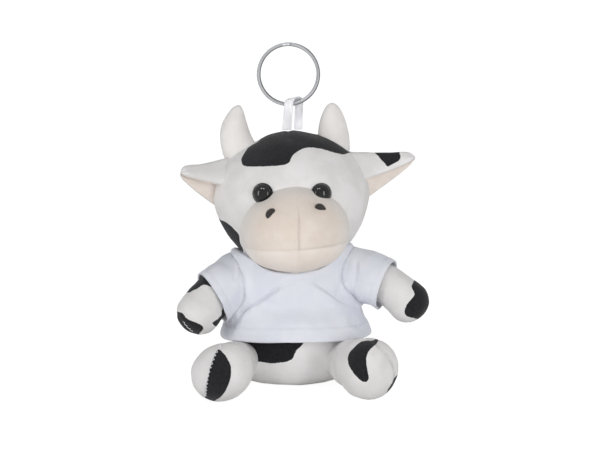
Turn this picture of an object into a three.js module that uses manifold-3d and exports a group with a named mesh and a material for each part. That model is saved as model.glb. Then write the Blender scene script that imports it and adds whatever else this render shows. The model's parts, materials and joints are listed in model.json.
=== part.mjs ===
// Plush cow key charm: a seated, stuffed cow in a jersey T-shirt, with a split key ring on a satin ribbon.
// Millimetres, +Z up. The cow faces -Y, and the origin is the middle of the flat under its seat.
// "Left" and "right" are as seen by someone who looks at its face: left is -X.
import * as THREE from "three";
import { mergeVertices } from "three/addons/utils/BufferGeometryUtils.js";
import Module from "manifold-3d";

// Cloth, thread and clearances
const PLUSH = 1.2; // short-pile fabric that covers every stuffed part
const JERSEY = 0.8; // knitted cloth of the T-shirt
const LINING = 0.8; // smooth lining of the ears
const GAP = 0.3; // clearance between pieces that lie on each other
const SOCKET_GAP = 0.6; // clearance round the rounded root of a part that moves
const PRESSED_FLAT = 0.5; // how far the seat and the feet are pressed flat by the surface below
const SEAM = 0.35; // width of a sewn seam's groove
const REACH = 200; // more than the toy spans, for what cuts it level or upright

// Torso, with the neck as a dome that the head turns on
const BODY = { halfWidth: 24, halfDepth: 20.4, widestHeight: 13, shoulderHeight: 46.5 };
const BODY_SQUARE = { up: 2.6, down: 3.5 }; // how blunt the trunk is at its top and at its seat
const NECK = { height: 44, radius: 12, openingRadius: 6 };

// Head, in its own frame: the origin is the middle of the head
const HEAD = { halfWidth: 31, halfDepth: 24.5, crown: 26.8, chin: 30, square: 1.9 };
const HEAD_AT = { x: -0.1, height: 73.9, roll: 3.2, yaw: 2.5 };
const MUZZLE = { halfWidth: 21, halfDepth: 20, up: 17.5, down: 17, squareUp: 1.75, squareDown: 2.4 };
const MUZZLE_AT = { height: -9.9, depth: -18, mouthHeight: -15.9 };
const EYE = { radius: 4, dome: 3, rim: 0.35, apart: 22.6, sunk: 0.2 };
const EYE_STEM = { radius: 1.4, length: 7.5, rib: 0.25, tip: 0.7 };
const EYE_WASHER = { radius: 4, thickness: 1.2, ridge: 0.8 };
const EYE_HEIGHT = { left: 5, right: 3.7 };
const NOSTRIL = { halfLength: 2.3, halfWidth: 1.35, thickness: 0.6, apart: 19.8, height: -1, lean: 50 };
const HORN = { halfWidth: 6.6, halfDepth: 4.7, length: 17.8, sunk: 6, depth: 1 };
const HORN_AT = { left: [-20.2, 20.9], right: [17.6, 19] };
const EAR = { length: 21.5, rootTop: 15.8, sunk: 3, foldRadius: 2.7, liningGap: 0.5 };
const EAR_FLAPS = { front: 10.5, back: 18.5, tip: 2.4, frontTilt: 20, backTilt: 10 };
const EAR_FORWARD = { left: 38, right: 6 }; // degrees that each ear turns to the front
const EAR_DROOP = { left: 2, right: 6.2 };
const EAR_FLAP = 20; // degrees that an ear flaps each way

// Arms and legs: where each is sewn on, and where its round end lies
const ARM = { root: 6.1, elbow: 7.4, wrist: 8.7, hand: 8.6, raise: 18, lower: 12 };
const ARM_SEAM = { x: 18.6, y: -1, height: 39.6 };
const ARM_BEND = { left: [-27.5, -6.5, 43], right: [30, -4, 44.5] };
const HAND_AT = { left: [-36.4, -17, 31], right: [45.4, -8, 33.2] };
const LEG = { root: 7.6, ankle: 9.2, foot: 12.1, endStretch: 0.9, splay: 12 };
const LEG_SEAM = { x: 20, y: -13.5, height: 10.5 };
const FOOT_AT = { left: [-26.2, -36.5], right: [28.9, -32.8] };

// T-shirt: half width and half depth of its outer side at each height, from the hem to the neckline
const HEM = { height: 20.3, halfWidth: 30, halfDepth: 26.5, x: 1.7, saddle: -1.5 };
const WAIST = { height: 27, halfWidth: 27.4, halfDepth: 24 };
const CHEST = { height: 34, halfWidth: 25.2, ease: 0.6 };
const YOKE = { height: 41, halfWidth: 24 };
const SHOULDER = { height: 45.6, halfWidth: 23.2, halfDepth: 20, saddle: 4.8, front: 0.2 };
const NECKLINE = { height: 45.4, halfWidth: 14.6, halfDepth: 17.6, saddle: 0.2, front: 0.8 };
const FOLD = { depth: 1, halfWidth: 3.2, archTop: 46, archDrop: 26, besideSeam: 19 };
const SLEEVE = { armhole: 11.4, start: 0.1, rootEase: 3, ease: 0.5, flareEnd: 0.42, taperFrom: 0.35 };
const CUFF_AT = { left: 0.7, right: 0.7 }; // share of the arm that each sleeve covers
const COLLAR = { width: 2.2, thickness: 1, inside: 0.4 };

// Split ring of flat wire, wound twice, and the ribbon that holds it
const RING = { outerRadius: 12.5, wire: 1.5, wireThickness: 0.78, coilGap: 0.45 };
const RING_JOG = { angle: 17, fromTop: -4 }; // degrees over which the wire changes layer, and where
const RIBBON = { width: 5.6, thickness: 0.5, strandOffset: 2.3, bead: 0.9 };
const RIBBON_ROOT_X = 1.8; // in the head's frame, where the ribbon leaves the crown
const RING_CENTRE_X = -1.35;
const RIBBON_RISE = 10.3; // from the crown to the wire that lies in the ribbon's bend
const RIBBON_GRIP = 10.6; // degrees round the ring from its lowest point to the ribbon

const wasm = await Module();
wasm.setup();
const degrees = THREE.MathUtils.degToRad;
const { lerp, smoothstep } = THREE.MathUtils;
const v3 = (x, y, z) => new THREE.Vector3(x, y, z);

// Geometry and solids

function solidOf(geometry) {
  const bare = geometry.index ? geometry.toNonIndexed() : geometry.clone();
  bare.deleteAttribute("normal");
  bare.deleteAttribute("uv");
  const merged = mergeVertices(bare, 1e-4);
  const triVerts = new Uint32Array(merged.index.array);
  const vertProperties = new Float32Array(merged.attributes.position.array);
  const made = new wasm.Manifold(new wasm.Mesh({ numProp: 3, vertProperties, triVerts }));
  if (made.volume() > 0) return made;
  for (let i = 0; i < triVerts.length; i += 3) {
    [triVerts[i + 1], triVerts[i + 2]] = [triVerts[i + 2], triVerts[i + 1]];
  }
  return new wasm.Manifold(new wasm.Mesh({ numProp: 3, vertProperties, triVerts }));
}

function geometryOf(solid) {
  const mesh = solid.getMesh();
  const positions = new Float32Array(mesh.numVert * 3);
  for (let i = 0; i < mesh.numVert; i++) {
    const start = i * mesh.numProp;
    positions.set(mesh.vertProperties.subarray(start, start + 3), i * 3);
  }
  const indexed = new THREE.BufferGeometry();
  indexed.setAttribute("position", new THREE.BufferAttribute(positions, 3));
  indexed.setIndex(new THREE.BufferAttribute(new Uint32Array(mesh.triVerts), 1));
  return indexed;
}

// A skin over rings of points. An end that is one point closes there, and an open end gets a flat cap.
function skin(rings, loop = false) {
  const middle = (ring) => ring.reduce((sum, p) => sum.add(p), v3(0, 0, 0)).divideScalar(ring.length);
  const all = [...rings];
  if (!loop && Array.isArray(all[0])) all.unshift(middle(all[0]));
  if (!loop && Array.isArray(all.at(-1))) all.push(middle(all.at(-1)));
  const positions = [];
  const triangle = (...corners) => corners.forEach((p) => positions.push(p.x, p.y, p.z));
  const pairs = loop ? all.length : all.length - 1;
  for (let k = 0; k < pairs; k++) {
    const low = all[k];
    const high = all[(k + 1) % all.length];
    const sides = Array.isArray(low) ? low.length : high.length;
    for (let i = 0; i < sides; i++) {
      const j = (i + 1) % sides;
      if (!Array.isArray(low)) triangle(low, high[j], high[i]);
      else if (!Array.isArray(high)) triangle(low[i], low[j], high);
      else if (low[i].distanceTo(high[j]) <= low[j].distanceTo(high[i])) {
        triangle(low[i], low[j], high[j]);
        triangle(low[i], high[j], high[i]);
      } else {
        triangle(low[i], low[j], high[i]);
        triangle(low[j], high[j], high[i]);
      }
    }
  }
  const made = new THREE.BufferGeometry();
  made.setAttribute("position", new THREE.Float32BufferAttribute(positions, 3));
  return solidOf(made);
}

// An egg that swells out to its widest height. squareUp and squareDown over 2 make that end blunter.
// What lies inside a cover is drawn in by inset, with fewer faces.
function egg(sizes, inset = 0) {
  const { halfWidth, halfDepth, up, down, squareUp = 2, squareDown = 2 } = sizes;
  const [sides, bands] = inset > 0 ? sizes.coarse : sizes.fine;
  const a = halfWidth - inset;
  const b = halfDepth - inset;
  const ringAt = (turn) => {
    const square = turn > 0 ? squareUp : squareDown;
    const z = (turn > 0 ? up : down) - inset;
    const height = Math.sign(turn) * z * Math.abs(Math.sin(turn)) ** (2 / square);
    const share = Math.cos(turn) ** (2 / square);
    return Array.from({ length: sides }, (_, i) => {
      const around = (2 * Math.PI * i) / sides;
      return v3(a * share * Math.cos(around), b * share * Math.sin(around), height);
    });
  };
  const rings = [v3(0, 0, -(down - inset))];
  for (let k = 1 - bands; k < bands; k++) rings.push(ringAt((Math.PI / 2) * (k / bands)));
  rings.push(v3(0, 0, up - inset));
  return skin(rings);
}

const ball = (radius, sides = 20) => solidOf(new THREE.SphereGeometry(radius, sides, sides / 2));

function rod(radius, length, sides = 16) {
  return solidOf(new THREE.CylinderGeometry(radius, radius, length, sides));
}

function block(width, depth, height) {
  return solidOf(new THREE.BoxGeometry(width, depth, height));
}

// A solid turned so that its +Y points along direction, then moved so that its origin lies at point.
function aimed(solid, direction, point) {
  const turn = new THREE.Quaternion().setFromUnitVectors(v3(0, 1, 0), direction.clone().normalize());
  return moved(solid, new THREE.Matrix4().compose(point, turn, v3(1, 1, 1)));
}

const moved = (solid, matrix) => solid.transform(matrix.elements);
const shifted = (solid, x, y, z) => solid.translate([x, y, z]);

// What is left of a piece that turns about a hinge, once its neighbour is cut away at every angle.
function clearOf(piece, neighbour, pivot, axis, angles) {
  return angles.reduce((left, angle) => {
    const turn = new THREE.Matrix4().makeRotationAxis(axis.clone().normalize(), degrees(-angle));
    const about = new THREE.Matrix4().makeTranslation(pivot.x, pivot.y, pivot.z);
    const back = new THREE.Matrix4().makeTranslation(-pivot.x, -pivot.y, -pivot.z);
    return left.subtract(moved(neighbour, about.multiply(turn).multiply(back)));
  }, piece);
}

// What lies below a height, or above it.
const below = (height) => shifted(block(REACH, REACH, REACH), 0, 0, height - REACH / 2);
const above = (height) => shifted(block(REACH, REACH, REACH), 0, 0, height + REACH / 2);

const largestPart = (solid) => solid.decompose().sort((a, b) => b.volume() - a.volume())[0];

// A stuffed limb along a curve: a ball-shaped root that its seam turns on, a swelling shaft and a round end.
function limb(curve, radii, inset = 0, { fine = [12, 5], coarse = [8, 4], endStretch = 0.95 } = {}) {
  const [sides, steps] = inset > 0 ? coarse : fine;
  const radiusAt = (t) => {
    const place = t * (radii.length - 1);
    const k = Math.min(Math.floor(place), radii.length - 2);
    return lerp(radii[k], radii[k + 1], smoothstep(place - k, 0, 1)) - inset;
  };
  const frames = curve.computeFrenetFrames(steps, false);
  const ringAt = (t, along, share) => {
    const k = Math.round(t * steps);
    const centre = curve.getPointAt(t).addScaledVector(frames.tangents[k], along);
    const radius = radiusAt(t) * share;
    return Array.from({ length: sides }, (_, i) => {
      const around = (2 * Math.PI * i) / sides;
      return centre
        .clone()
        .addScaledVector(frames.normals[k], radius * Math.cos(around))
        .addScaledVector(frames.binormals[k], radius * Math.sin(around));
    });
  };
  const quarter = [1, 2, 3].map((k) => (Math.PI / 8) * k);
  const rings = [curve.getPointAt(0).addScaledVector(frames.tangents[0], -radiusAt(0))];
  quarter.forEach((a) => rings.push(ringAt(0, -radiusAt(0) * Math.cos(a), Math.sin(a))));
  for (let k = 0; k <= steps; k++) rings.push(ringAt(k / steps, 0, 1));
  const reach = radiusAt(1) * endStretch;
  [...quarter].reverse().forEach((a) => rings.push(ringAt(1, reach * Math.cos(a), Math.sin(a))));
  rings.push(curve.getPointAt(1).addScaledVector(frames.tangents[steps], reach));
  return skin(rings);
}

// Materials

const cloth = (color) => new THREE.MeshStandardMaterial({ color, roughness: 0.95, metalness: 0 });
const materials = {
  whitePlush: cloth(0xe4e2e1),
  peachPlush: cloth(0xe6dad0),
  hornPlush: cloth(0xdedcd6),
  earLining: cloth(0xd9cfc2),
  thread: cloth(0x2a2321),
  filling: cloth(0xf4f4f2),
  jersey: cloth(0xe3e5ec),
  satin: new THREE.MeshStandardMaterial({ color: 0xf0eff6, roughness: 0.45, metalness: 0 }),
  eyePlastic: new THREE.MeshStandardMaterial({ color: 0x0d0d0e, roughness: 0.08, metalness: 0 }),
  washerPlastic: new THREE.MeshStandardMaterial({ color: 0xe9e9e6, roughness: 0.5, metalness: 0 }),
  nickel: new THREE.MeshStandardMaterial({ color: 0xb9bbbd, roughness: 0.3, metalness: 1 }),
};

const toy = new THREE.Group();
const headGroup = new THREE.Group();
headGroup.position.set(HEAD_AT.x, 0, HEAD_AT.height);
headGroup.rotation.set(0, -degrees(HEAD_AT.roll), degrees(HEAD_AT.yaw));
headGroup.updateMatrix();
toy.add(headGroup);
const toHead = headGroup.matrix.clone().invert();

function place(group, name, solid, material) {
  const mesh = new THREE.Mesh(geometryOf(solid), materials[material]);
  mesh.name = name;
  group.add(mesh);
}

// Torso

const bodyForm = (inset) => {
  const sizes = {
    halfWidth: BODY.halfWidth,
    halfDepth: BODY.halfDepth,
    up: BODY.shoulderHeight - BODY.widestHeight,
    down: BODY.widestHeight + PRESSED_FLAT,
    squareUp: BODY_SQUARE.up,
    squareDown: BODY_SQUARE.down,
    fine: [22, 5],
    coarse: [12, 4],
  };
  const trunk = shifted(egg(sizes, inset), 0, 0, BODY.widestHeight);
  return trunk.add(shifted(ball(NECK.radius - inset, inset > 0 ? 10 : 16), 0, 0, NECK.height));
};
const bodyHalfDepthAt = (height) => {
  const share = (height - BODY.widestHeight) / (BODY.shoulderHeight - BODY.widestHeight);
  return BODY.halfDepth * (1 - share ** BODY_SQUARE.up) ** (1 / BODY_SQUARE.up);
};
const sides = { left: -1, right: 1 };
const armSeam = (side) => v3(sides[side] * ARM_SEAM.x, ARM_SEAM.y, ARM_SEAM.height);
const legSeam = (side) => v3(sides[side] * LEG_SEAM.x, LEG_SEAM.y, LEG_SEAM.height);

// The hollows in the torso that the limbs' rounded roots lie in.
function limbSockets(grow) {
  const facets = grow > 0 ? 8 : 12;
  const hollow = (centre, radius) => shifted(ball(radius + SOCKET_GAP + grow, facets), ...centre.toArray());
  return ["left", "right"]
    .flatMap((side) => [hollow(armSeam(side), ARM.root), hollow(legSeam(side), LEG.root)])
    .reduce((all, one) => all.add(one));
}

const bodyOutside = bodyForm(0).subtract(limbSockets(0)).subtract(below(0));
const neckHole = shifted(rod(NECK.openingRadius, 12, 12).rotate([90, 0, 0]), 0, 0, NECK.height + NECK.radius);
const bodyHollow = bodyForm(PLUSH).subtract(limbSockets(PLUSH)).subtract(below(PLUSH));
const bodyStuffing = bodyForm(PLUSH + GAP).subtract(limbSockets(PLUSH + GAP)).subtract(below(PLUSH + GAP));
place(toy, "body_cover", bodyOutside.subtract(bodyHollow).subtract(neckHole), "whitePlush");
place(toy, "body_filling", largestPart(bodyStuffing), "filling");

// Head

const headForm = (inset) => {
  const { halfWidth, halfDepth, crown, chin, square } = HEAD;
  const sizes = { halfWidth, halfDepth, up: crown, down: chin, squareUp: square, squareDown: square };
  return egg({ ...sizes, fine: [24, 6], coarse: [14, 4] }, inset);
};
const neckInHead = v3(0, 0, NECK.height).applyMatrix4(toHead);
const neckSocket = (grow) => shifted(ball(NECK.radius + SOCKET_GAP + grow), ...neckInHead.toArray());

// The point of the head's front at x and z, and the direction that its surface faces there.
function onFace(x, z) {
  const c = z > 0 ? HEAD.crown : HEAD.chin;
  const share = (1 - Math.abs(z / c) ** HEAD.square) ** (1 / HEAD.square);
  const y = -HEAD.halfDepth * Math.sqrt(share ** 2 - (x / HEAD.halfWidth) ** 2);
  const facing = v3(x / HEAD.halfWidth ** 2, y / HEAD.halfDepth ** 2, z / c ** 2).normalize();
  return { point: v3(x, y, z), facing };
}

const lathe = (outline, segments) => {
  const points = outline.map(([radius, height]) => new THREE.Vector2(radius, height));
  return solidOf(new THREE.LatheGeometry(points, segments));
};

// A safety eye: a dome on a ribbed stem. +Y is the way it looks, and y = 0 is its back, on the fabric.
function eyeSolid(grow = 0) {
  const { radius, dome, rim } = EYE;
  const { radius: stem, length, rib, tip } = EYE_STEM;
  const curve = [0, 1, 2, 3, 4].map((k) => {
    const a = (Math.PI / 8) * k;
    return [(radius + grow) * Math.cos(a), rim + (dome - rim + grow) * Math.sin(a)];
  });
  curve[4][0] = 0;
  const ribs = [0.45, 0.7].flatMap((share) => [
    [stem, -length * share],
    [stem + rib, -length * (share + 0.02)],
  ]);
  const end = [[stem, -length + tip], [tip, -length], [0, -length]];
  const outline = [[stem, -grow], ...ribs, ...end];
  return lathe([...outline.reverse(), [radius + grow, -grow], ...curve], 14);
}

function washerSolid() {
  const { radius, thickness, ridge } = EYE_WASHER;
  const inner = EYE_STEM.radius + EYE_STEM.rib + GAP;
  const rim = [[inner, 0], [radius, 0], [radius, thickness * 0.6]];
  const outline = [...rim, [inner + ridge, thickness], [inner, thickness]];
  return lathe([...outline, outline[0]], 14);
}

const washerDepth = -EYE.sunk - PLUSH - GAP - EYE_WASHER.thickness;
const seatDepth = PLUSH + GAP;
const eyeRoom = EYE_STEM.length + 1;
const eyeAt = {
  left: onFace(-EYE.apart / 2, EYE_HEIGHT.left),
  right: onFace(EYE.apart / 2, EYE_HEIGHT.right),
};
const onEye = (side, solid, depth) => {
  const { point, facing } = eyeAt[side];
  return aimed(solid, facing, point.clone().addScaledVector(facing, depth));
};
const stemRoom = EYE_STEM.radius + EYE_STEM.rib + GAP;
const eyeSeat = (side) => onEye(side, rod(EYE.radius + GAP, seatDepth, 14), seatDepth / 2 - EYE.sunk - GAP);
const stemHole = (side) => onEye(side, rod(stemRoom, EYE_STEM.length, 8), -EYE_STEM.length / 2);
const eyePocket = (side) => {
  return onEye(side, rod(EYE_WASHER.radius + GAP, eyeRoom, 12), -eyeRoom / 2 - PLUSH - GAP / 2);
};

const headOutside = headForm(0).subtract(neckSocket(0));
const headHollow = headForm(PLUSH).subtract(neckSocket(PLUSH));
const headHole = shifted(rod(NECK.openingRadius, 20, 12).rotate([90, 0, 0]), ...neckInHead.toArray());

const crownAt = (x) => v3(x, 0, HEAD.crown * (1 - (x / HEAD.halfWidth) ** HEAD.square) ** (1 / HEAD.square));
const ribbonAxis = crownAt(RIBBON_ROOT_X).applyMatrix4(headGroup.matrix);
const grooveLength = RIBBON.width + RIBBON.strandOffset + 2 * GAP;
const groove = rod(RIBBON.bead + GAP, grooveLength, 8).rotate([0, 0, 90]);
const ribbonGroove = moved(shifted(groove, ...ribbonAxis.toArray()), toHead);

let headCover = headOutside.subtract(headHollow).subtract(headHole).subtract(ribbonGroove);
let headStuffing = headForm(PLUSH + GAP).subtract(neckSocket(PLUSH + GAP)).subtract(ribbonGroove);
for (const side of ["left", "right"]) {
  headCover = headCover.subtract(eyeSeat(side)).subtract(stemHole(side)).subtract(eyePocket(side));
  headStuffing = headStuffing.subtract(eyePocket(side));
  place(headGroup, `eye_${side}`, onEye(side, eyeSolid(), -EYE.sunk), "eyePlastic");
  place(headGroup, `eye_washer_${side}`, onEye(side, washerSolid(), washerDepth), "washerPlastic");
}

// Muzzle: an upper cover with a seam down its middle, and a chin below the mouth

const muzzleForm = (inset) => {
  const muzzle = egg({ ...MUZZLE, fine: [24, 5], coarse: [16, 4] }, inset);
  return shifted(muzzle, 0, MUZZLE_AT.depth, MUZZLE_AT.height);
};

const headPlus = headForm(-GAP);
const eyesPlus = onEye("left", eyeSolid(GAP), -EYE.sunk).add(onEye("right", eyeSolid(GAP), -EYE.sunk));
const muzzleShell = muzzleForm(0).subtract(muzzleForm(PLUSH)).subtract(headPlus).subtract(eyesPlus);
const muzzleStuffing = muzzleForm(PLUSH + GAP).subtract(headForm(-2 * GAP)).subtract(eyesPlus);
const mouthSeam = shifted(block(REACH, REACH, SEAM), 0, 0, MUZZLE_AT.mouthHeight);
const centreSeam = block(SEAM, REACH, REACH).intersect(above(MUZZLE_AT.mouthHeight));

// The point of the muzzle's front at x and z, and the direction that its surface faces there.
function onMuzzle(x, z) {
  const { halfWidth, halfDepth, up, squareUp } = MUZZLE;
  const yAt = (px, pz) => {
    const share = (1 - ((pz - MUZZLE_AT.height) / up) ** squareUp) ** (1 / squareUp);
    return MUZZLE_AT.depth - halfDepth * share * Math.sqrt(1 - (px / (halfWidth * share)) ** 2);
  };
  const y = yAt(x, z);
  const step = 0.5;
  const facing = v3((yAt(x + step, z) - y) / step, -1, (yAt(x, z + step) - y) / step);
  return { point: v3(x, y, z), facing: facing.normalize() };
}

// An embroidered oval, thicker in its middle, that leans outwards at its lower end.
function nostrilSolid(side) {
  const { halfLength, halfWidth, thickness, apart, height, lean } = NOSTRIL;
  const pad = egg({ halfWidth, halfDepth: thickness, up: halfLength, down: halfLength, fine: [10, 2] });
  const leaning = pad.rotate([0, lean * sides[side], 0]);
  const { point, facing } = onMuzzle((sides[side] * apart) / 2, height);
  const outwards = point.addScaledVector(facing, GAP);
  const turned = new THREE.Quaternion().setFromUnitVectors(v3(0, -1, 0), facing);
  return moved(leaning, new THREE.Matrix4().compose(outwards, turned, v3(1, 1, 1)));
}

const muzzlePlus = muzzleForm(-GAP);
const aboveMouth = above(MUZZLE_AT.mouthHeight);
const upperMuzzle = muzzleShell.intersect(aboveMouth).subtract(mouthSeam).subtract(centreSeam);
for (const side of ["left", "right"]) {
  const half = shifted(block(REACH, REACH, REACH), (sides[side] * REACH) / 2, 0, 0);
  const panel = upperMuzzle.intersect(half);
  place(headGroup, `muzzle_${side}`, largestPart(panel), "peachPlush");
  place(headGroup, `nostril_${side}`, largestPart(nostrilSolid(side).subtract(muzzlePlus)), "thread");
}
const chin = muzzleShell.subtract(aboveMouth).subtract(mouthSeam);
place(headGroup, "chin", largestPart(chin), "peachPlush");
place(headGroup, "muzzle_filling", largestPart(muzzleStuffing), "filling");

// Horns

function hornForm(side, inset) {
  const { halfWidth, halfDepth, length, sunk, depth } = HORN;
  const sizes = { halfWidth, halfDepth, up: length, down: sunk, fine: [14, 4], coarse: [8, 3] };
  const [x, height] = HORN_AT[side];
  return shifted(egg(sizes, inset), x, depth, height);
}

for (const side of ["left", "right"]) {
  const cover = hornForm(side, 0).subtract(hornForm(side, PLUSH)).subtract(headPlus);
  const stuffing = hornForm(side, PLUSH + GAP).subtract(headForm(-2 * GAP));
  place(headGroup, `horn_${side}`, largestPart(cover), "hornPlush");
  place(headGroup, `horn_filling_${side}`, largestPart(stuffing), "filling");
}

// Ears: a leaf folded over its upper edge, plush outside and lining inside, that flaps on its sewn root

function earSheet(side, from, to) {
  const { length, rootTop, sunk, foldRadius } = EAR;
  const { front: frontFlap, back: backFlap, tip: tipFlap, frontTilt, backTilt } = EAR_FLAPS;
  const rootX = HEAD.halfWidth * Math.sqrt(1 - (rootTop / HEAD.crown) ** 2) - sunk;
  const forward = degrees(EAR_FORWARD[side]);
  const along = v3(sides[side] * Math.cos(forward), -Math.sin(forward), 0);
  const across = v3(sides[side] * Math.sin(forward), Math.cos(forward), 0);
  const inFold = (r, a) => across.clone().multiplyScalar(-r * Math.cos(a)).setZ(r * Math.sin(a));
  const stations = [0, 0.25, 0.45, 0.65, 0.82, 0.94, 1];
  const rings = stations.map((t) => {
    const taper = Math.sqrt(1 - t ** 2.2);
    const lengthOf = (flap) => lerp(tipFlap * Math.sqrt(Math.max(0, 1 - t)), flap, taper * (1 - 0.45 * t));
    const spine = v3(sides[side] * rootX, 0, rootTop - EAR_DROOP[side] * t * t);
    const centre = spine.addScaledVector(along, (length + sunk) * t);
    const path = (offset) => {
      const r = foldRadius - offset;
      const bend = [frontTilt, 45, 90, 135, 180 - backTilt].map((a) => inFold(r, degrees(a)));
      const frontEnd = bend[0].clone().sub(inFold(lengthOf(frontFlap), degrees(90 + frontTilt)));
      const backEnd = bend[4].clone().sub(inFold(lengthOf(backFlap), degrees(90 - backTilt)));
      return [frontEnd, ...bend, backEnd].map((p) => p.add(centre));
    };
    return [...path(from), ...path(to).reverse()];
  });
  return skin(rings);
}

const earHinge = (side) => {
  const { rootTop } = EAR;
  const rootBottom = rootTop - EAR_FLAPS.back;
  const xAt = (z) => HEAD.halfWidth * Math.sqrt(1 - (z / HEAD.crown) ** 2);
  const top = v3(sides[side] * xAt(rootTop), 0, rootTop);
  const bottom = v3(sides[side] * xAt(rootBottom), 0, rootBottom);
  return { pivot: top.clone().lerp(bottom, 0.5), axis: top.sub(bottom).normalize() };
};

for (const side of ["left", "right"]) {
  const { pivot, axis } = earHinge(side);
  const flaps = [-EAR_FLAP, 0, EAR_FLAP];
  const beside = headPlus.add(hornForm(side, -GAP));
  const liningStart = PLUSH + EAR.liningGap;
  const outer = clearOf(earSheet(side, 0, PLUSH), beside, pivot, axis, flaps);
  const lining = clearOf(earSheet(side, liningStart, liningStart + LINING), beside, pivot, axis, flaps);
  place(headGroup, `ear_${side}`, largestPart(outer), "whitePlush");
  place(headGroup, `ear_lining_${side}`, largestPart(lining), "earLining");
}

place(headGroup, "head_cover", headCover, "whitePlush");
place(headGroup, "head_filling", largestPart(headStuffing), "filling");

// Arms and legs

const trunk = bodyForm(-GAP).subtract(limbSockets(-GAP));

function armCurve(side) {
  return new THREE.QuadraticBezierCurve3(armSeam(side), v3(...ARM_BEND[side]), v3(...HAND_AT[side]));
}

const armRadii = [ARM.root, ARM.elbow, ARM.wrist, ARM.hand];

function limbOpening(curve, radius) {
  const start = curve.getPointAt(0);
  const along = curve.getTangentAt(0);
  return aimed(rod(radius, 8, 10), along, start.addScaledVector(along, -radius - 2));
}

// The level axis across an arm that it is raised about.
function armAxis(side) {
  const curve = armCurve(side);
  return curve.getPointAt(1).sub(curve.getPointAt(0)).setZ(0).normalize().cross(v3(0, 0, 1));
}

for (const side of ["left", "right"]) {
  const curve = armCurve(side);
  const axis = armAxis(side);
  const angles = [-ARM.lower, ARM.raise];
  const opening = limbOpening(curve, ARM.root / 2);
  const shell = limb(curve, armRadii).subtract(limb(curve, armRadii, PLUSH)).subtract(opening);
  const cover = clearOf(shell, trunk, armSeam(side), axis, angles);
  const stuffing = clearOf(limb(curve, armRadii, PLUSH + GAP), trunk, armSeam(side), axis, angles);
  place(toy, `arm_${side}`, largestPart(cover), "whitePlush");
  place(toy, `arm_filling_${side}`, largestPart(stuffing), "filling");
}

const legRadii = [LEG.root, LEG.ankle, LEG.foot];
const splays = [-LEG.splay, 0, LEG.splay];
for (const side of ["left", "right"]) {
  const footHeight = LEG.foot - PRESSED_FLAT;
  const foot = v3(...FOOT_AT[side], footHeight);
  const curve = new THREE.LineCurve3(legSeam(side), foot);
  const options = { fine: [14, 4], coarse: [10, 2], endStretch: LEG.endStretch };
  const opening = limbOpening(curve, LEG.root / 2);
  const hollow = limb(curve, legRadii, PLUSH, options).subtract(below(PLUSH));
  const stuffing = limb(curve, legRadii, PLUSH + GAP, options).subtract(below(PLUSH + GAP));
  const cover = limb(curve, legRadii, 0, options).subtract(hollow).subtract(opening).subtract(below(0));
  const clear = (piece) => largestPart(clearOf(piece, trunk, legSeam(side), v3(0, 0, 1), splays));
  place(toy, `leg_${side}`, clear(cover), "whitePlush");
  place(toy, `leg_filling_${side}`, clear(stuffing), "filling");
}

// T-shirt

const chestHalfDepth = bodyHalfDepthAt(CHEST.height) + GAP + JERSEY;
const shirtLevels = [
  { ...HEM },
  { ...WAIST },
  { ...CHEST, halfDepth: chestHalfDepth + CHEST.ease },
  { ...YOKE, halfDepth: lerp(chestHalfDepth, SHOULDER.halfDepth, 0.6) },
  { ...SHOULDER },
];
const shirtSides = 34;
const bandsBetween = 3;

// How far the cloth stands out in a fold at x and height, on the front or the back.
function foldOut(x, height, atFront) {
  const ridge = (distance) => Math.exp(-((distance / FOLD.halfWidth) ** 2));
  const archTop = FOLD.archTop - FOLD.archDrop * Math.abs(x / HEM.halfWidth) ** 1.5;
  const arch = atFront ? ridge(height - archTop) : 0;
  const beside = smoothstep(height, HEM.height, CHEST.height) * ridge(Math.abs(x) - FOLD.besideSeam);
  return FOLD.depth * Math.max(arch, beside);
}

// One ring of the shirt, drawn in by the cloth's thickness for its inner side.
function shirtRing({ height, halfWidth, halfDepth, x: middle = 0, saddle = 0, front = 0 }, inset, drop) {
  return Array.from({ length: shirtSides }, (_, i) => {
    const around = (2 * Math.PI * i) / shirtSides;
    const share = { x: Math.cos(around), y: Math.sin(around) };
    const rise = saddle * share.x ** 2 + front * Math.max(0, -share.y) ** 2;
    const low = height - drop + rise;
    const x = (halfWidth - inset) * share.x;
    const out = foldOut(x, low, share.y < 0) * Math.min(1, Math.abs(share.y) * 2);
    return v3(middle + x, (halfDepth - inset + out) * share.y, low);
  });
}

// The level between two others at t, on a smooth curve through them all.
function shirtLevelAt(k, t) {
  const share = (k + t) / (shirtLevels.length - 1);
  const pick = (name) => shirtLevels.map((level) => v3(level[name] ?? 0, 0, 0));
  const between = (name) => new THREE.CatmullRomCurve3(pick(name)).getPoint(share).x;
  const names = ["height", "halfWidth", "halfDepth", "x", "saddle", "front"];
  return Object.fromEntries(names.map((name) => [name, between(name)]));
}

function shirtSide(inset, top) {
  const rings = [];
  for (let k = 0; k < shirtLevels.length - 1; k++) {
    for (let j = 0; j < bandsBetween; j++) rings.push(shirtRing(shirtLevelAt(k, j / bandsBetween), inset, 0));
  }
  rings.push(shirtRing(SHOULDER, inset, top));
  rings.push(shirtRing(NECKLINE, 0, top));
  return rings;
}

const shirtOutside = shirtSide(0, 0);
const shirtInside = shirtSide(JERSEY, JERSEY);
const shirtShell = skin([...shirtOutside, ...shirtInside.reverse()], true);
const shirtPlus = skin(shirtSide(-GAP, -GAP));

const sleeveSides = 16;

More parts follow.
